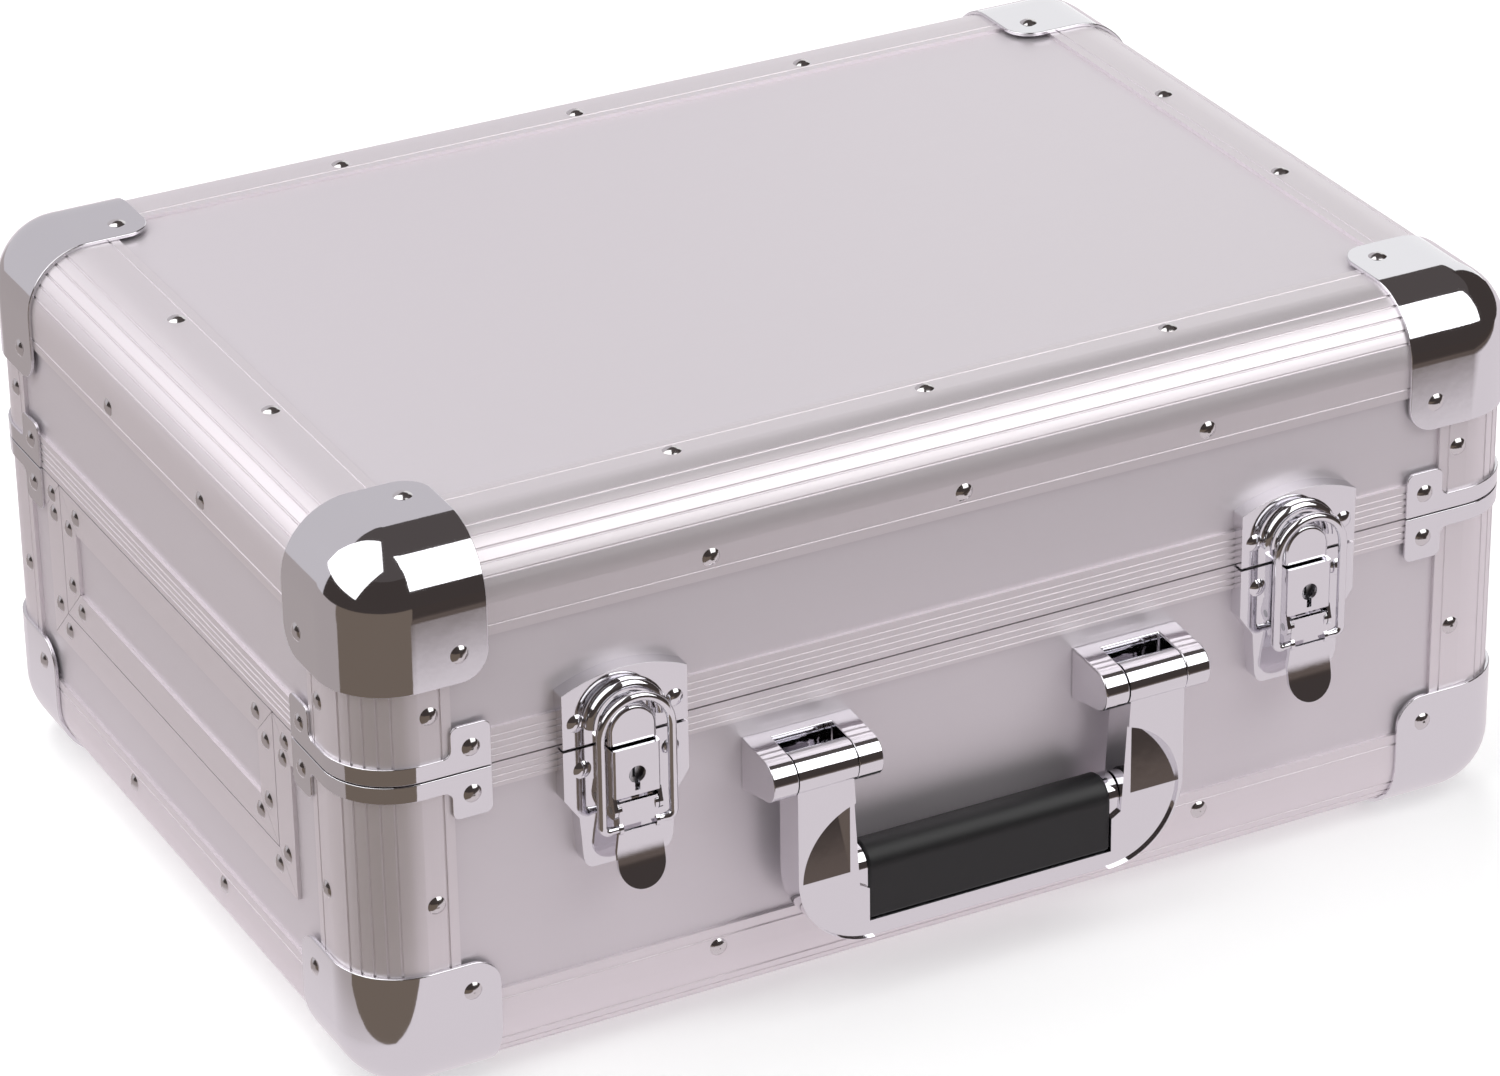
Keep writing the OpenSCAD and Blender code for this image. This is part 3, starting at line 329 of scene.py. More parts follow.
@dataclass(frozen=True)
class Moulded(Finish):
    """Moulded plastic or rubber, or bare plywood: an even grain."""

    grain_mm: float = 0.5
    relief_mm: float = 0.02

    def dress(self, tree: bpy.types.NodeTree, shader: bpy.types.Node) -> None:
        """Raises the surface by noise of the grain's size.

        Args:
            tree: the material's node tree.
            shader: its principled shader.
        """
        raise_surface(tree, shader, pattern(tree, "TexNoise", self.grain_mm, "Fac"), self.relief_mm)


@dataclass(frozen=True)
class Foamed(Finish):
    """Cut foam: round pores that are open to the face, with a painted shade that darkens their bottoms."""

    pore_mm: float = 1.4
    relief_mm: float = 0.5
    # the pores' bottoms: a painted shade, darker than the foam's own colour
    painted_pore_shade: str = "#1D1D20"

    def dress(self, tree: bpy.types.NodeTree, shader: bpy.types.Node) -> None:
        """The distance from the nearest cell centre gives the pores their depth, and a painted shade that
        darkens them towards their middles.

        Args:
            tree: the material's node tree.
            shader: its principled shader.
        """
        depth = pattern(tree, "TexVoronoi", self.pore_mm, "Distance")
        raise_surface(tree, shader, depth, self.relief_mm)
        # painted shade: the foam darkens towards the middle of each pore
        shade = add_node(tree, "Mix", {0: depth}, {"data_type": "RGBA"})
        for socket, colour in zip(MIX_COLOURS, (self.painted_pore_shade, self.colour)):
            shade.inputs[socket].default_value = linear(colour)
        tree.links.new(shade.outputs[MIX_COLOUR_OUT], shader.inputs["Base Color"])


# natural anodised aluminium section: a pale satin metal whose ribs catch narrow highlights
PROFILE_X, PROFILE_Y, PROFILE_Z, PROFILE_ROUND = (
    DrawnAluminium("anodised_section_" + along.name.lower(), "#ECE6EA", 0.45, 0.8, along) for along in Along)
# rolled aluminium sheet with a satin anodised skin: broad, soft reflections of what stands on it
SHEET = DrawnAluminium("anodised_sheet", "#E0DADF", 0.44, 0.66, Along.ROUND, line_mm=0.6, line_length=40.0,
                       relief_mm=0.004, end_wall_mm=237.5)
# bright chrome over pressed steel
CHROME = Plated("bright_chrome", "#E4E3E7", 0.06)
# nickel plated steel rivets: a shade warmer and duller than the chrome
RIVET = Plated("nickel_rivet", "#D6D3D4", 0.14, wave_mm=4.0, relief_mm=0.01)
# zinc plated hinge leaves
ZINC = Plated("zinc_plate", "#BFC1C4", 0.3, wave_mm=3.0)
# injection moulded black grip with a satin grain
GRIP = Moulded("moulded_black_grip", "#101012", 0.46)
# moulded black rubber
RUBBER = Moulded("moulded_black_rubber", "#19191A", 0.7, grain_mm=0.8, relief_mm=0.05)
# birch plywood faces, unpainted
PLYWOOD = Moulded("birch_plywood", "#C8A878", 0.6, grain_mm=2.0, relief_mm=0.05)
# open-cell foam, charcoal: matt, with pores that are drawn at twice their real size so that they show, and a
# painted shade in each pore
FOAM = Foamed("charcoal_foam", "#333336", 0.95)


@dataclass(frozen=True)
class Softbox:
    """A lamp: its middle, the ways of its two sides, their lengths in metres, and its power in watts."""

    name: str
    place: Triple
    across: Triple
    up: Triple
    size: tuple[float, float]
    power: float
    in_metal: bool = True


@dataclass(frozen=True)
class PaintedFloorReflection:
    """A painted reflection: a glowing card whose colour the metal sees in place of the pale floor, fading in
    along a way between two distances in metres.

    An even card has no way, and its two distances are the same.
    """

    name: str
    colour: str
    way: Triple = (0, 0, 0)
    clear: float = 0.0
    full: float = 0.0


# one slopes up from the front to overhead, one leans over the left side, and one stands high behind the
# case, where the metal does not see it
SOFTBOXES = (
    Softbox("softbox_front", (0.98, -0.977, 1.45), (1, 0, 0), (0, 0.451, 0.892), (1.57, 1.71), 21.0),
    Softbox("softbox_left", (-0.826, -0.15, 1.425), (0.714, 1.792, 0.07), (-1.045, 0.567, -1.647),
            (1.93, 2.03), 23.0),
    Softbox("softbox_back", (0.4, 1.7, 2.0), (1, 0, 0), (0, 0.7, -0.72), (2.0, 1.0), 38.0, in_metal=False),
)
# painted reflections of the floor: the metal sees these tones instead of the pale floor, near the case pale,
# darker to the left and further in front
PAINTED_FLOOR_REFLECTIONS = (
    PaintedFloorReflection("painted_floor_near", "#E6DEE2"),
    PaintedFloorReflection("painted_floor_left", "#B3AAA9", (-1, 0, 0), 0.25, 0.32),
    PaintedFloorReflection("painted_floor_front", "#645953", (0, -1, 0), 0.42, 0.54),
    PaintedFloorReflection("painted_floor_far", "#453D3A", (0, -1, 0), 0.6, 0.74),
)
QUAD = [[0, 1, 2, 3]]


def square(half: float, z: float) -> np.ndarray:
    """The corners of a level square about the origin.

    Args:
        half: half of its side.
        z: its height.

    Returns:
        Four points.
    """
    return np.array([(-half, -half, z), (half, -half, z), (half, half, z), (-half, half, z)])


def flat_piece(name: str, points: np.ndarray, faces: list, material: bpy.types.Material) -> bpy.types.Object:
    """Makes a piece of the stage from points and puts it into the scene.

    Args:
        name: the piece's name.
        points: its points.
        faces: its faces, as lists of point numbers.
        material: its material.

    Returns:
        The new object, which the frame hasn't been told of yet.
    """
    mesh = bpy.data.meshes.new(name)
    mesh.from_pydata(points.tolist(), [], faces)
    mesh.materials.append(material)
    piece = bpy.data.objects.new(name, mesh)
    bpy.context.scene.collection.objects.link(piece)
    return piece


@dataclass
class Studio:
    """The stage: a pale floor, a white surround, soft lamps, glowing cards that paint reflections in the
    metal, and the camera.

    Places and sizes are in metres, unless a name ends in mm or deg.
    """

    floor_half: float = 30.0
    floor_colour: str = "#E6E6E6"
    near_lift: float = 0.32      # how much the floor is lifted round the case; far out it is white
    lift_from: float = 0.7
    lift_to: float = 1.9
    lit_strength: float = 0.2    # the surround, as the light that falls on the object
    shown_strength: float = 1.0  # the surround, as the camera and the metal see it
    card_half: float = 3.0
    ceiling: float = 2.7
    front_r: float = 2.9
    front_from_deg: float = 150
    front_to_deg: float = 390
    front_panels: int = 48
    back_ends: tuple[tuple[float, float], ...] = ((-2.6, 1.4), (1.5, 2.9))
    card_gap: float = 1 * MM
    wedge_height: float = 5 * MM
    wedge: tuple[tuple[float, float], ...] = (
        (-0.249, -0.19), (-0.2, -0.262), (-0.115, -0.535), (0.62, -3.0), (-3.0, -3.0), (-3.0, 0.15),
        (-0.595, -0.095), (-0.307, -0.13),
    )
    camera_place: Triple = (-0.930672, -1.801225, 1.154484)
    camera_turn: tuple[Triple, ...] = (
        (0.88525801, 0.22599173, -0.40650461),
        (-0.46489528, 0.40401027, -0.78781221),
        (-0.01380700, 0.88639914, 0.46271581),
    )
    lens_mm: float = 142.996
    sensor_mm: float = 36.0
    seen_range: tuple[float, float] = (0.05, 100.0)

    def build(self) -> None:
        """Builds the whole stage."""
        bpy.context.scene.view_settings.view_transform = "Standard"
        self.camera()
        self.world()
        self.floor()
        self.lamps()
        self.cards()

    def camera(self) -> None:
        """Places the camera as the photograph's: turn and lens were worked out from the rivets' places."""
        data = bpy.data.cameras.new("camera")
        data.lens, data.sensor_width = self.lens_mm, self.sensor_mm
        data.clip_start, data.clip_end = self.seen_range
        holder = bpy.data.objects.new("camera", data)
        holder.matrix_world = Matrix.Translation(self.camera_place) @ Matrix(self.camera_turn).to_4x4()
        bpy.context.scene.collection.objects.link(holder)
        bpy.context.scene.camera = holder

    def world(self) -> None:
        """White for what the camera and the metal see, and a plain pale grey that lights the object."""
        world = bpy.data.worlds.new("surround")
        bpy.context.scene.world = world
        tree = clear_tree(world)
        lit = add_node(tree, "Background", Color=WHITE, Strength=self.lit_strength)
        shown = add_node(tree, "Background", Color=WHITE, Strength=self.shown_strength)
        mix = add_node(tree, "MixShader", {0: self.seen(tree), 1: lit.outputs[0], 2: shown.outputs[0]})
        add_node(tree, "OutputWorld", {"Surface": mix.outputs[0]})

    def seen(self, tree: bpy.types.NodeTree) -> bpy.types.NodeSocket:
        """One for rays of the camera, of metal and of glass, and nothing for the others.

        Args:
            tree: the node tree of the floor or the surround.

        Returns:
            The one or nothing.
        """
        path = add_node(tree, "LightPath")
        seen = path.outputs["Is Camera Ray"]
        for ray in ("Is Glossy Ray", "Is Transmission Ray"):
            either = add_node(tree, "Math", {0: seen, 1: path.outputs[ray]}, {"operation": "MAXIMUM"})
            seen = either.outputs[0]
        return seen

    def floor(self) -> None:
        """A pale floor that keeps the shadow, and that is seen as white beyond the lamps' reach."""
        material = bpy.data.materials.new("pale_floor")
        tree = clear_tree(material)
        pale = add_node(tree, "BsdfDiffuse", Color=linear(self.floor_colour))
        coords = add_node(tree, "TexCoord")
        reach = add_node(tree, "VectorMath", {0: coords.outputs["Object"]}, {"operation": "LENGTH"})
        lift = smooth_ramp(tree, reach.outputs["Value"], self.lift_from, self.lift_to, self.near_lift)
        glow = add_node(tree, "Emission", {"Strength": lift}, Color=WHITE)
        both = add_node(tree, "AddShader", {0: pale.outputs[0], 1: glow.outputs[0]})
        mix = add_node(tree, "MixShader", {0: self.seen(tree), 1: pale.outputs[0], 2: both.outputs[0]})
        add_node(tree, "OutputMaterial", {"Surface": mix.outputs[0]})
        floor = flat_piece("floor", square(self.floor_half, 0.0), QUAD, material)

    def lamps(self) -> None:
        """Hangs the softboxes, each turned so that its sides run along its two ways."""
        for box in SOFTBOXES:
            data = bpy.data.lights.new(box.name, "AREA")
            data.shape, data.energy = "RECTANGLE", box.power
            data.size, data.size_y = box.size
            lamp = bpy.data.objects.new(box.name, data)
            lamp.visible_glossy = box.in_metal
            x = Vector(box.across).normalized()
            z = x.cross(Vector(box.up)).normalized()
            turn = Matrix((x, z.cross(x), z)).transposed()
            lamp.matrix_world = Matrix.Translation(box.place) @ turn.to_4x4()
            bpy.context.scene.collection.objects.link(lamp)

    def card_finish(self, name: str, colour: str, way: Triple = (0, 0, 0), clear: float = 0.0,
                    full: float = 0.0) -> bpy.types.Material:
        """An even card, or one that fades in along a direction.

        Args:
            name: the material's name.
            colour: sRGB hex of what the metal sees.
            way: the unit direction that it fades along, or zeros for an even card.
            clear: how far along the way it is still clear, in metres.
            full: how far along the way it is solid.

        Returns:
            The card's material.
        """
        material = bpy.data.materials.new(name)
        tree = clear_tree(material)
        # the card glows with its colour: a painted reflection, not a lamp
        surface = add_node(tree, "Emission", Color=linear(colour), Strength=1.0).outputs[0]
        if clear != full:
            coords = add_node(tree, "TexCoord")
            reach = add_node(tree, "VectorMath", {0: coords.outputs["Object"]}, {"operation": "DOT_PRODUCT"})
            reach.inputs[1].default_value = way
            share = smooth_ramp(tree, reach.outputs["Value"], clear, full)
            through = add_node(tree, "BsdfTransparent")
            surface = add_node(tree, "MixShader", {0: share, 1: through.outputs[0], 2: surface}).outputs[0]
        add_node(tree, "OutputMaterial", {"Surface": surface})
        return material

    def cards(self) -> None:
        """Glowing cards that only the metal sees, which paint its reflections: a dark ceiling and front, a
        grey back, and tones in place of the pale floor that are darker to the left and in front.

        The floor's cards lie just above it and each other. The wedge on top spreads out from the left front
        corner of the case.
        """
        # painted reflections: a dark ceiling, a dark ring round the front and a grey back, all glowing cards
        self.card("ceiling_card", square(self.card_half, self.ceiling), QUAD,
                  self.card_finish("painted_reflection_dark", "#575150"))
        turn = np.linspace(math.radians(self.front_from_deg), math.radians(self.front_to_deg),
                           self.front_panels + 1)
        ring = np.stack([self.front_r * np.cos(turn), self.front_r * np.sin(turn)], 1)
        wall = np.vstack([np.column_stack([ring, np.full(len(ring), z)]) for z in (0.0, self.ceiling)])
        index = np.arange(self.front_panels)
        faces = np.stack([index, index + 1, index + len(ring) + 1, index + len(ring)], 1)
        self.card("front_card", wall, faces.tolist(), self.card_finish("painted_reflection_front", "#443D3B"))
        (x0, y0), (x1, y1) = self.back_ends
        back = np.array([(x0, y0, 0.0), (x1, y1, 0.0), (x1, y1, self.ceiling), (x0, y0, self.ceiling)])
        self.card("back_card", back, QUAD, self.card_finish("painted_reflection_grey", "#D2CED2"))
        for number, sheet in enumerate(PAINTED_FLOOR_REFLECTIONS, 1):
            self.card(sheet.name, square(self.card_half, number * self.card_gap), QUAD,
                      self.card_finish(sheet.name, sheet.colour, sheet.way, sheet.clear, sheet.full))
        # a painted darker reflection: a glowing wedge out from the case's left front corner
        wedge = np.column_stack([self.wedge, np.full(len(self.wedge), self.wedge_height)])
        self.card("painted_floor_corner", wedge, [list(range(len(wedge)))],
                  self.card_finish("painted_floor_corner", "#766A60"))

    def card(self, name: str, points: np.ndarray, faces: list, material: bpy.types.Material) -> None:
        """Puts up one card, hidden from every ray but a glossy one.

        Args:
            name: the card's name.
            points: its points.
            faces: its faces, as lists of point numbers.
            material: its material.
        """
        card = flat_piece(name, points, faces, material)
        card.visible_camera = card.visible_diffuse = card.visible_shadow = False
        card.visible_transmission = card.visible_volume_scatter = False


def weigh_normals(mesh: bpy.types.Mesh, limit_deg: float) -> None:
    """Gives each face corner the mean normal of the faces round its vertex, weighed by their area.

    Only faces that turn less than the limit from the corner's own face count, so true edges stay crisp and
    wide flat faces stay flat up to the small rounds along their edges.

    Args:
        mesh: the mesh, whose faces are shaded smooth.
        limit_deg: the largest turn between faces that still blend.
    """
    vertex = np.empty(len(mesh.loops), np.int32)
    mesh.loops.foreach_get("vertex_index", vertex)
    corners = np.empty(len(mesh.polygons), np.int32)
    mesh.polygons.foreach_get("loop_total", corners)
    normal = np.empty(3 * len(corners))
    mesh.polygons.foreach_get("normal", normal)
    normal = normal.reshape(-1, 3)
    area = np.empty(len(corners))
    mesh.polygons.foreach_get("area", area)
    face = np.repeat(np.arange(len(corners)), corners)
    order = np.argsort(vertex, kind="stable")
    first = np.searchsorted(vertex[order], vertex, "left")
    count = np.searchsorted(vertex[order], vertex, "right") - first
    mine = np.repeat(np.arange(len(vertex)), count)
    step = np.arange(len(mine)) - np.repeat(np.cumsum(count) - count, count)
    other = face[order[np.repeat(first, count) + step]]
    near = (normal[face[mine]] * normal[other]).sum(1) > math.cos(math.radians(limit_deg))
    weight = np.where(near, area[other], 0.0)
    mean = np.stack([np.bincount(mine, weight * normal[other, k], len(vertex)) for k in range(3)], 1)
    mean /= np.maximum(np.linalg.norm(mean, axis=1, keepdims=True), NO_NORMAL)
    mesh.normals_split_custom_set(mean.tolist())


def place_piece(name: str, mesh: bpy.types.Mesh, finish: Finish, nodes: tuple[str, ...],
                body: str = "") -> bpy.types.Object:
    """Puts a finished mesh into the scene, attaches it to its body and hides the nodes that it stands for.

    Args:
        name: the piece's name.
        mesh: its mesh, already in place.
        finish: its finish.
        nodes: the CAD nodes that it stands for, or none.
        body: the body that it rides on, where it stands for no node.

    Returns:
        The new object.
    """
    mesh.materials.clear()
    mesh.materials.append(finish.build())
    piece = bpy.data.objects.new(name, mesh)
    bpy.context.scene.collection.objects.link(piece)
    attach(piece, body or BODY_OF[nodes[0]])
    if nodes:
        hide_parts(*nodes)
    log.info("%s: %d faces, %s", name, len(mesh.polygons), finish.name)
    return piece


def mesh_from(name: str, points: np.ndarray, faces: np.ndarray) -> bpy.types.Mesh:
    """Makes a smooth mesh from points and four-cornered faces, with its normals outwards.

    Args:
        name: the mesh's name.
        points: an array of n points.
        faces: an array of m times four point numbers.

    Returns:
        The mesh, with normals weighed by area.
    """
    mesh = bpy.data.meshes.new(name)
    mesh.from_pydata(points.reshape(-1, 3).tolist(), [], faces.tolist())
    work = bmesh.new()
    work.from_mesh(mesh)
    bmesh.ops.remove_doubles(work, verts=work.verts, dist=WELD)
    bmesh.ops.recalc_face_normals(work, faces=work.faces)
    work.to_mesh(mesh)
    work.free()
    mesh.shade_smooth()
    weigh_normals(mesh, ROUND_BLEND_DEG)
    return mesh


def grid_faces(rows: int, columns: int, round_columns: bool = False) -> np.ndarray:
    """Numbers the four-cornered faces of a grid of points.

    Args:
        rows: how many rows of points there are.
        columns: how many points a row has.
        round_columns: whether each row closes on itself.

    Returns:
        An array of four point numbers for each face.
    """
    across = columns if round_columns else columns - 1
    r, c = np.meshgrid(np.arange(rows - 1), np.arange(across), indexing="ij")
    here, below, c1 = r * columns, (r + 1) * columns, (c + 1) % columns
    return np.stack([here + c, here + c1, below + c1, below + c], -1).reshape(-1, 4)


def quarter(points: int) -> np.ndarray:
    """The angles of a quarter turn, in radians.

    Args:
        points: how many there are, with both ends.

    Returns:
        The angles, evenly spaced.
    """
    return np.radians(np.linspace(0, 90, points))


def whole_turn(points: int) -> np.ndarray:
    """The angles of a whole turn, in radians.

    Args:
        points: how many there are, without the last, which is the first again.

    Returns:
        The angles, evenly spaced.
    """
    return np.linspace(0, 2 * np.pi, points, endpoint=False)


def node_box(low_high: tuple) -> tuple[np.ndarray, np.ndarray]:
    """Turns a box from the frame into arrays that can be reckoned with.

    Args:
        low_high: its lowest and highest corner.

    Returns:
        The same two corners.
    """
    low, high = (np.array(corner) for corner in low_high)
    return low, high


def soften(node: str, edge_mm: float, sharp_deg: float = SHARP_DEG,
           blend_deg: float = BLEND_DEG) -> bpy.types.Object:
    """Stands a chromed copy of a CAD node in its place, with edges broken as tumbling and plating leave them.

    Args:
        node: the CAD node.
        edge_mm: the width of the rounds.
        sharp_deg: edges that turn more than this are rounded.
        blend_deg: faces that turn less than this are shaded as one surface.

    Returns:
        The new object.
    """
    work = bmesh.new()
    work.from_mesh(frame["nodes"][node].data)
    bmesh.ops.remove_doubles(work, verts=work.verts, dist=WELD)
    bmesh.ops.dissolve_limit(work, angle_limit=math.radians(FLAT_DEG), verts=work.verts, edges=work.edges)
    limit = math.radians(sharp_deg)
    sharp = [edge for edge in work.edges if edge.is_manifold and edge.calc_face_angle(0.0) > limit]
    bmesh.ops.bevel(work, geom=sharp, offset=edge_mm * MM, offset_type="OFFSET", segments=BEVEL_STEPS,
                    profile=BEVEL_ROUND, affect="EDGES", clamp_overlap=True)
    mesh = bpy.data.meshes.new(node + "_finished")
    work.to_mesh(mesh)
    work.free()
    mesh.shade_smooth()
    weigh_normals(mesh, blend_deg)
    return place_piece(node + "_finished", mesh, CHROME, (node,))


@dataclass
class ChromeFittings:
    """The chrome pressings and castings, with the widths in mm to which their edges are rounded.

    A thumb recess leans only a little from the bow's face round it, so the bow has its own two limits.
    """

    pressing_edge: float = 0.4
    casting_edge: float = 0.7
    strip_edge: float = 0.3
    bow_sharp_deg: float = 25.0
    bow_blend_deg: float = 9.0

    def build(self) -> None:
        """Dresses the corners, clamps, latches, mounts and the bow."""
        for half in ("base", "lid"):
            soften(f"{half}_ball_corners", self.pressing_edge)
            soften(f"{half}_seam_clamps", self.strip_edge)
        for side in ("left", "right"):
            for part in ("base", "strike", "lever"):
                soften(f"{side}_latch_{part}", self.pressing_edge)
            soften(f"{side}_handle_mount", self.casting_edge)
        soften("handle_bow", self.pressing_edge, self.bow_sharp_deg, self.bow_blend_deg)


@dataclass
class LatchBail:
    """One wire, bent to an arch over the boss, whose ends turn in through the lever. Sizes are in mm."""

    side: str
    bend_r: float = 2.6
    end_inset: float = 2.7       # how far inside the lever's side an end stops
    level_slack: float = 0.05    # how far above the ends' line the wire still counts as level
    foot_share: float = 0.78     # of the wire's thickness, at the ends
    taper_power: int = 4
    ring: int = 24
    foot_points: int = 8
    bend_points: int = 10
    leg_points: int = 15
    arch_points: int = 25

    def centre_line(self, arch_r: float, foot_z: float, arch_z: float, inner: float) -> np.ndarray:
        """The wire's line in its own plane: half of it goes in from the lever, round the bend, up and over.

        Args:
            arch_r: radius of the arch.
            foot_z: height of the turned-in ends.
            arch_z: height of the arch's centre.
            inner: where an end stops, from the middle.

        Returns:
            Points as x across and z up, from the right end to the left end.
        """
        bend = self.bend_r * MM
        across = np.linspace(inner, arch_r - bend, self.foot_points)[:-1]
        foot = np.stack([across, np.full(len(across), foot_z)], 1)
        turn = np.radians(np.linspace(-90, 0, self.bend_points))
        corner = np.stack([arch_r - bend + bend * np.cos(turn), foot_z + bend + bend * np.sin(turn)], 1)
        up = np.linspace(foot_z + bend, arch_z, self.leg_points)[1:]
        leg = np.stack([np.full(len(up), arch_r), up], 1)
        over = quarter(self.arch_points)[1:]
        arch = np.stack([arch_r * np.cos(over), arch_z + arch_r * np.sin(over)], 1)
        half = np.vstack([foot, corner, leg, arch])
        return np.vstack([half, (half * (-1, 1))[-2::-1]])

    def build(self) -> None:
        """Carries a circle along the line; it narrows where the ends pass through the lever."""
        node = f"{self.side}_latch_bail"
        low, high = node_box(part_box(node))
        wire = (high[1] - low[1]) / 2
        arch_r = (high[0] - low[0]) / 2 - wire
        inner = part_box(f"{self.side}_latch_lever")[1][0] - (low[0] + high[0]) / 2 - self.end_inset * MM
        line = self.centre_line(arch_r, low[2] + wire, high[2] - wire - arch_r, inner)
        way = np.gradient(line, axis=0)
        way /= np.linalg.norm(way, axis=1, keepdims=True)
        out = np.stack([way[:, 1], -way[:, 0]], 1)
        near = np.clip((np.abs(line[:, 0]) - inner) / (arch_r - self.bend_r * MM - inner), 0, 1)
        level = line[:, 1] < low[2] + wire + self.level_slack * MM
        share = self.foot_share + (1 - self.foot_share) * near ** self.taper_power
        radius = np.where(level, wire * share, wire)
        turn = whole_turn(self.ring)
        x = line[:, :1] + radius[:, None] * out[:, :1] * np.cos(turn)
        z = line[:, 1:] + radius[:, None] * out[:, 1:] * np.cos(turn)
        y = np.broadcast_to(radius[:, None] * np.sin(turn), x.shape)
        centre = (low + high) / 2
        points = np.stack([x + centre[0], y + centre[1], z], -1)
        caps = [np.broadcast_to(points[k].mean(0), points[k].shape)[None] for k in (0, -1)]
        points = np.concatenate([caps[0], points, caps[1]])
        faces = grid_faces(len(points), self.ring, round_columns=True)
        place_piece(node + "_wire", mesh_from(node, points, faces), CHROME, (node,))


@dataclass
class Grip:
    """The moulded bar under the hand. Sizes are in mm."""

    end_round: float = 1.4
    edge_round: float = 1.2
    rows: int = 40
    arch_points: int = 49
    side_points: int = 12
    flat_points: int = 10
    round_points: int = 9

    def section(self, half: float, height: float) -> np.ndarray:
        """The section's outline: a half circle above straight sides, with small rounds at the low corners.

        Args:
            half: half of the bar's thickness.
            height: the bar's height.

        Returns:
            Points as depth and height, about the bar's middle and its underside.
        """
        r = self.edge_round * MM
        over = np.radians(np.linspace(0, 180, self.arch_points))
        top = np.stack([half * np.cos(over), height - half + half * np.sin(over)], 1)
        down = np.linspace(height - half, r, self.side_points)[1:]
        side = np.stack([np.full(len(down), -half), down], 1)
        corner = np.radians(np.linspace(180, 270, self.round_points))
        left = np.stack([-half + r + r * np.cos(corner), r + r * np.sin(corner)], 1)
        across = np.linspace(-half + r, half - r, self.flat_points)[1:-1]
        flat = np.stack([across, np.zeros(len(across))], 1)
        return np.vstack([top, side, left[1:], flat, (left * (-1, 1))[::-1], (side * (-1, 1))[::-1][:-1]])

    def build(self) -> None:
        """Carries the section along the bar; near each end it shrinks as a quarter circle does."""
        name = "handle_grip_moulded"
        low, high = node_box(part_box("handle_grip"))
        r = self.end_round * MM
        fine = r * (1 - np.cos(quarter(self.round_points)))
        along = np.concatenate([low[0] + fine, np.linspace(low[0] + r, high[0] - r, self.rows)[1:-1],
                                high[0] - fine[::-1]])
        edge = np.minimum(along - low[0], high[0] - along)
        inset = np.where(edge < r, r - np.sqrt(np.maximum(r * r - (r - edge) ** 2, 0)), 0.0)
        section = self.section((high[1] - low[1]) / 2, high[2] - low[2])
        middle = np.array([0, (high[2] - low[2]) / 2])
        out = section - middle
        ring = middle + out * (1 - inset[:, None, None] / np.abs(out).max())
        rings = np.stack([np.broadcast_to(along[:, None], ring.shape[:2]),
                          ring[..., 0] + (low[1] + high[1]) / 2, ring[..., 1] + low[2]], -1)
        caps = [np.broadcast_to(rings[k].mean(0), rings[k].shape)[None] for k in (0, -1)]
        points = np.concatenate([caps[0], rings, caps[1]])
        mesh = mesh_from(name, points, grid_faces(len(points), len(section), round_columns=True))
        place_piece(name, mesh, GRIP, ("handle_grip",))


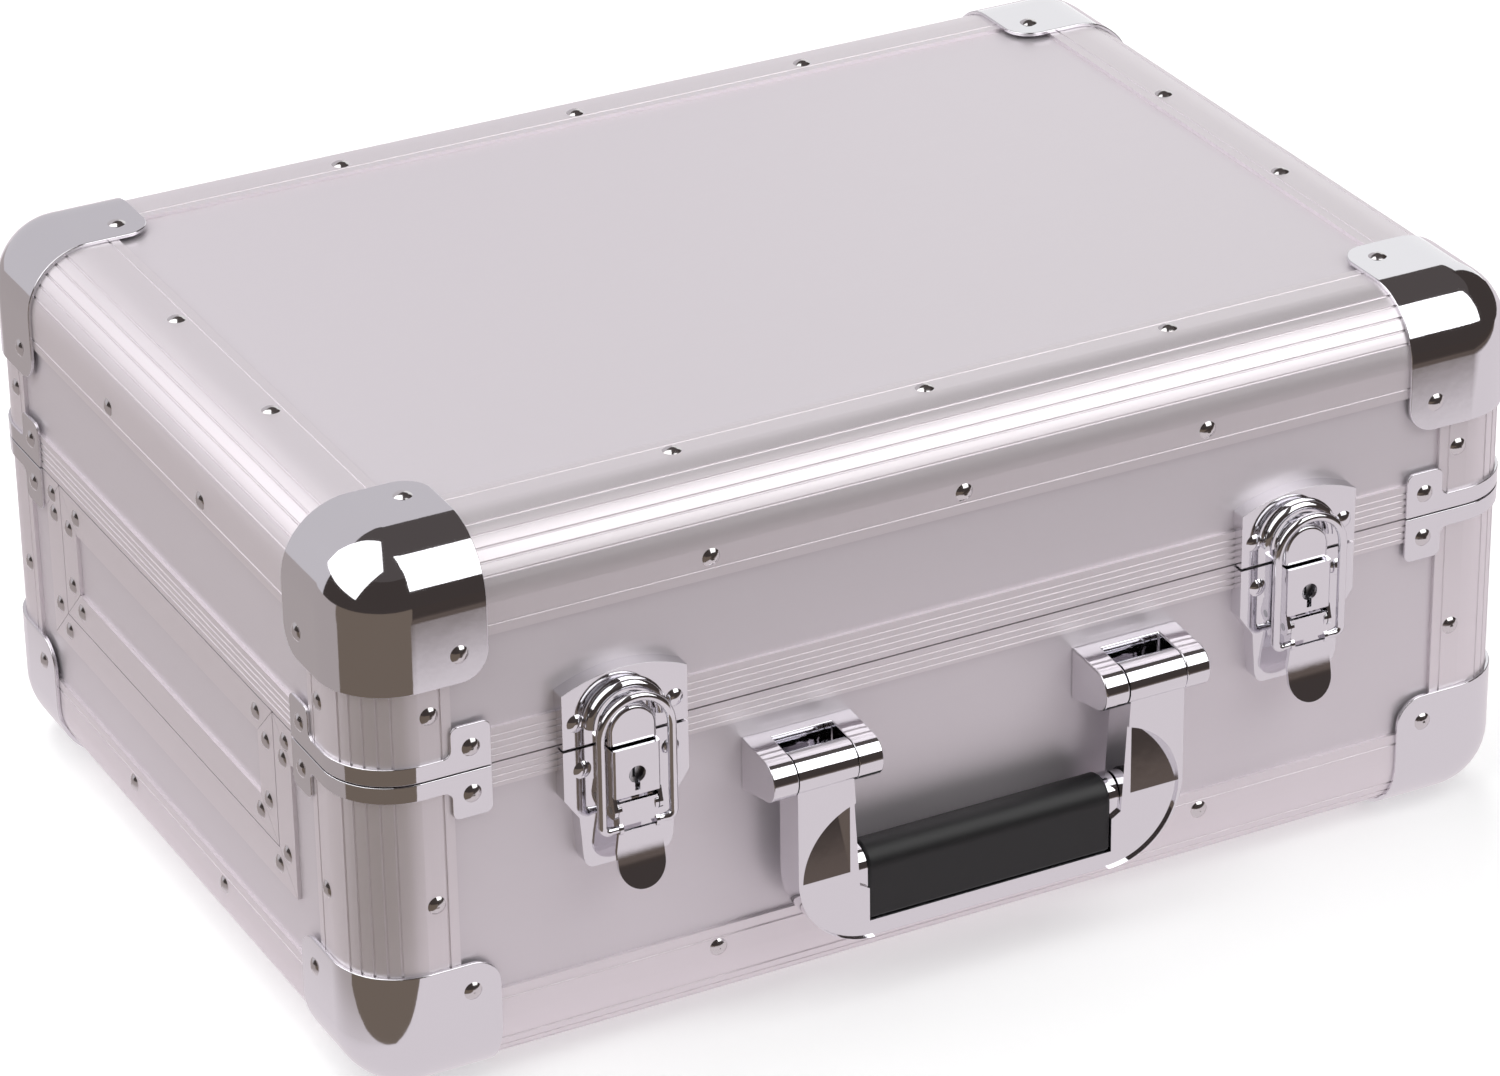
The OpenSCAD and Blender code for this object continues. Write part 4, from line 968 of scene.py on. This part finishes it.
@dataclass
class Feet:
    """The rubber feet on the hinge side, each turned about its own screw. Sizes are in mm."""

    half: str
    flange_r: float = 13.0
    neck_r: float = 12.4
    top_r: float = 10.0
    well_r: float = 5.0
    well_deep: float = 2.0
    rim: float = 2.0
    soft: float = 0.8
    turns: int = 72
    round_points: int = 7
    head_sunk: float = 0.4       # how far the screw's head goes into the floor of the well
    head_r: float = 3.7
    head_side: float = 0.8
    head_soft: float = 0.9
    socket: tuple[tuple[float, float], ...] = ((1.5, 1.7), (1.3, 0.7), (0, 0.6))

    def outline(self, height: float) -> np.ndarray:
        """The profile from the case outwards: flange, cone with soft edges, and the well of the screw.

        Args:
            height: the foot's height in metres.

        Returns:
            Points as radius and height.
        """
        q = quarter(self.round_points)
        s = self.soft * MM
        floor = height - self.well_deep * MM
        flange = np.stack([self.flange_r * MM - s + s * np.cos(q), self.rim * MM - s + s * np.sin(q)], 1)
        top = np.stack([self.top_r * MM - s + s * np.cos(q), height - s + s * np.sin(q)], 1)
        lip = np.stack([self.well_r * MM + s / 2 - s / 2 * np.sin(q), height - s / 2 + s / 2 * np.cos(q)], 1)
        foot = [(0, 0), (self.flange_r * MM, 0)]
        neck = [(self.neck_r * MM, self.rim * MM)]
        well = [(self.well_r * MM, floor), (0, floor)]
        return np.vstack([foot, flange, neck, top, lip, well])

    def screw(self, height: float) -> np.ndarray:
        """A low pan head with a round socket, which stands on the floor of the well.

        Args:
            height: the foot's height in metres.

        Returns:
            Points as radius and height.
        """
        q = quarter(self.round_points)
        edge = np.stack([self.head_r - self.head_soft + self.head_soft * np.cos(q),
                         self.head_side + self.head_soft * np.sin(q)], 1)
        shape = np.vstack([[(0, 0), (self.head_r, 0)], edge, self.socket])
        return shape * MM + (0, height - self.well_deep * MM - self.head_sunk * MM)

    def build(self) -> None:
        """Turns the outline about each screw, and lays a screw head in each well."""
        low, high = node_box(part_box(f"{self.half}_feet"))
        height = high[1] - low[1]
        z = (low[2] + high[2]) / 2
        turn = whole_turn(self.turns)
        for name, profile, finish, slot, nodes in (
            ("feet_moulded", self.outline(height), RUBBER, Slot.RUBBER, (f"{self.half}_feet",)),
            ("foot_screws", self.screw(height), ZINC, Slot.RIVET, ()),
        ):
            both, faces = [], []
            for x in (low[0] + self.flange_r * MM, high[0] - self.flange_r * MM):
                out = np.broadcast_to(low[1] + profile[:, 1:], (len(profile), self.turns))
                ring = np.stack([x + profile[:, :1] * np.cos(turn), out,
                                 z + profile[:, :1] * np.sin(turn)], -1)
                faces.append(grid_faces(len(profile), self.turns, round_columns=True) + sum(map(len, both)))
                both.append(ring.reshape(-1, 3))
            mesh = mesh_from(f"{self.half}_{name}", np.vstack(both), np.vstack(faces))
            place_piece(f"{self.half}_{name}", mesh, finish, nodes, self.half)


@dataclass
class FoamPads:
    """The cut foam boards that line one half of the case. Sizes are in mm."""

    half: str
    thick: float = 10.0
    soft: float = 1.6
    soft_share: float = 0.45     # of a board's thinnest side, at most
    dip: float = 0.5
    dip_power: int = 4
    cell: float = 6.0
    wall_slack: float = 0.1      # how near the left wall's face a point of the lining still counts as on it
    end_margin: float = 30.0     # a cut-out's ends lie further than this from the wall's own
    level_margin: float = 15.0   # and its floor further than this from the wall's foot and rim
    decimals: int = 5            # of a metre, for places that count as one

    def board(self, low: np.ndarray, high: np.ndarray, start: int) -> tuple[np.ndarray, np.ndarray]:
        """One foam board: a box whose edges are rounded and whose faces sink a little towards their edges.

        A point of the box is drawn back to an inner box and pushed out again by the edge's radius. Then the
        thin way shrinks by the dip times one minus the product of (1 - u^4) over the two long ways.

        Args:
            low: the lowest corner.
            high: the highest corner.
            start: how many points come before these.

        Returns:
            Points and faces.
        """
        size = high - low
        half, middle = size / 2, (low + high) / 2
        points, faces = [], []
        for axis in range(3):
            u, v = (k for k in range(3) if k != axis)
            steps = [max(2, int(size[k] / (self.cell * MM))) + 1 for k in (u, v)]
            a, b = np.meshgrid(np.linspace(-1, 1, steps[0]), np.linspace(-1, 1, steps[1]), indexing="ij")
            for way in (-1.0, 1.0):
                p = np.empty((*a.shape, 3))
                p[..., u], p[..., v], p[..., axis] = a * half[u], b * half[v], way * half[axis]
                faces.append(grid_faces(*a.shape) + start + sum(map(len, points)))
                points.append(p.reshape(-1, 3))
        p = np.vstack(points)
        r = min(self.soft * MM, size.min() * self.soft_share)
        inner = np.clip(p, r - half, half - r)
        out = p - inner
        p = inner + r * out / np.maximum(np.linalg.norm(out, axis=1, keepdims=True), NO_LENGTH)
        thin = int(np.argmin(size))
        fall = [1 - np.clip(np.abs(p[:, k] / half[k]), 0, 1) ** self.dip_power for k in range(3) if k != thin]
        p[:, thin] *= 1 - (1 - np.prod(fall, 0)) * self.dip * MM / half[thin]
        return p + middle, np.vstack(faces)

    def build(self) -> None:
        """Cuts the level board and the wall boards to the room that the CAD lining takes."""
        node = f"{self.half}_lining"
        low, high = node_box(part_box(node))
        t = self.thick * MM
        flat_low, flat_high = low.copy(), high.copy()
        if self.half == "lid":
            flat_low[2] = high[2] - t
            z0, z1 = low[2], high[2] - t
        else:
            flat_high[2] = low[2] + t
            z0, z1 = low[2] + t, high[2]
        y0, y1 = low[1] + t, high[1] - t
        cut = self.cut_out(node, low[0] + t)
        if cut is None:
            left = [(y0, y1, z0, z1)]
        else:
            left = [(y0, cut[0], z0, z1), (cut[1], y1, z0, z1), (cut[0], cut[1], z0, cut[2])]
        boards = [(flat_low, flat_high)]
        for x_low, x_high, a, b, c, d in (
            (low[0], high[0], low[1], y0, z0, z1),
            (low[0], high[0], y1, high[1], z0, z1),
            (high[0] - t, high[0], y0, y1, z0, z1),
            *((low[0], low[0] + t, *board) for board in left),
        ):
            boards.append((np.array([x_low, a, c]), np.array([x_high, b, d])))
        points, faces = [], []
        for corners in boards:
            p, f = self.board(*corners, sum(map(len, points)))
            points.append(p)
            faces.append(f)
        mesh = mesh_from(node, np.vstack(points), np.vstack(faces))
        piece = place_piece(f"{self.half}_foam_pads", mesh, FOAM, (node,))

    def cut_out(self, node: str, side: float) -> Triple | None:
        """Finds the cut-out in the left wall's foam.

        Args:
            node: the CAD lining.
            side: where the left wall's foam ends, along X.

        Returns:
            The cut-out's two ends along Y and its floor, or none.
        """
        data = frame["nodes"][node].data
        points = np.empty(3 * len(data.vertices))
        data.vertices.foreach_get("co", points)
        points = points.reshape(-1, 3)
        inside = points[points[:, 0] < side + self.wall_slack * MM]
        found = []
        for axis, margin in ((1, self.end_margin * MM), (2, self.level_margin * MM)):
            places = np.unique(np.round(inside[:, axis], self.decimals))
            found.append(places[(places > places.min() + margin) & (places < places.max() - margin)])
        ends, levels = found
        if len(ends) < 2 or not len(levels):
            return None
        return float(ends[0]), float(ends[-1]), float(levels[0])


@dataclass
class CaseShell:
    """The finishes of the sections, sheets, boards and small parts that keep their CAD shape."""

    slots: dict[str, Finish] = field(default_factory=lambda: {
        Slot.PROFILE.value: PROFILE_X, Slot.SHEET.value: SHEET, Slot.PLYWOOD.value: PLYWOOD,
        Slot.CHROME.value: CHROME, Slot.RIVET.value: RIVET, Slot.HINGE.value: ZINC, Slot.FOAM.value: FOAM,
        Slot.GRIP.value: GRIP, Slot.RUBBER.value: RUBBER,
    })
    runs: dict[str, Finish] = field(default_factory=lambda: {
        "left_edge": PROFILE_Y, "right_edge": PROFILE_Y, "posts": PROFILE_Z, "rims": PROFILE_ROUND,
        "cable_frame": PROFILE_Y, "panel_strips": PROFILE_Y,
    })

    def build(self) -> None:
        """Gives every CAD node the finish of its slot, with the grain along its run."""
        for name, piece in frame["nodes"].items():
            for slot in piece.material_slots:
                base = slot.material.name.split(".")[0] if slot.material else Slot.CHROME.value
                finish = self.slots.get(base, CHROME)
                if finish is PROFILE_X:
                    finish = next((f for end, f in self.runs.items() if name.endswith(end)), finish)
                slot.material = finish.build()


def main() -> None:
    """Builds the stage, dresses the nodes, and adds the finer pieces."""
    logging.basicConfig(level=logging.INFO, format="%(message)s")
    for part in (Studio(), CaseShell(), ChromeFittings(), LatchBail("left"), LatchBail("right"), Grip(),
                 Feet("base"), Feet("lid"), FoamPads("base"), FoamPads("lid")):
        part.build()
        log.info("%s done", type(part).__name__)


if __name__ == "__main__":
    main()
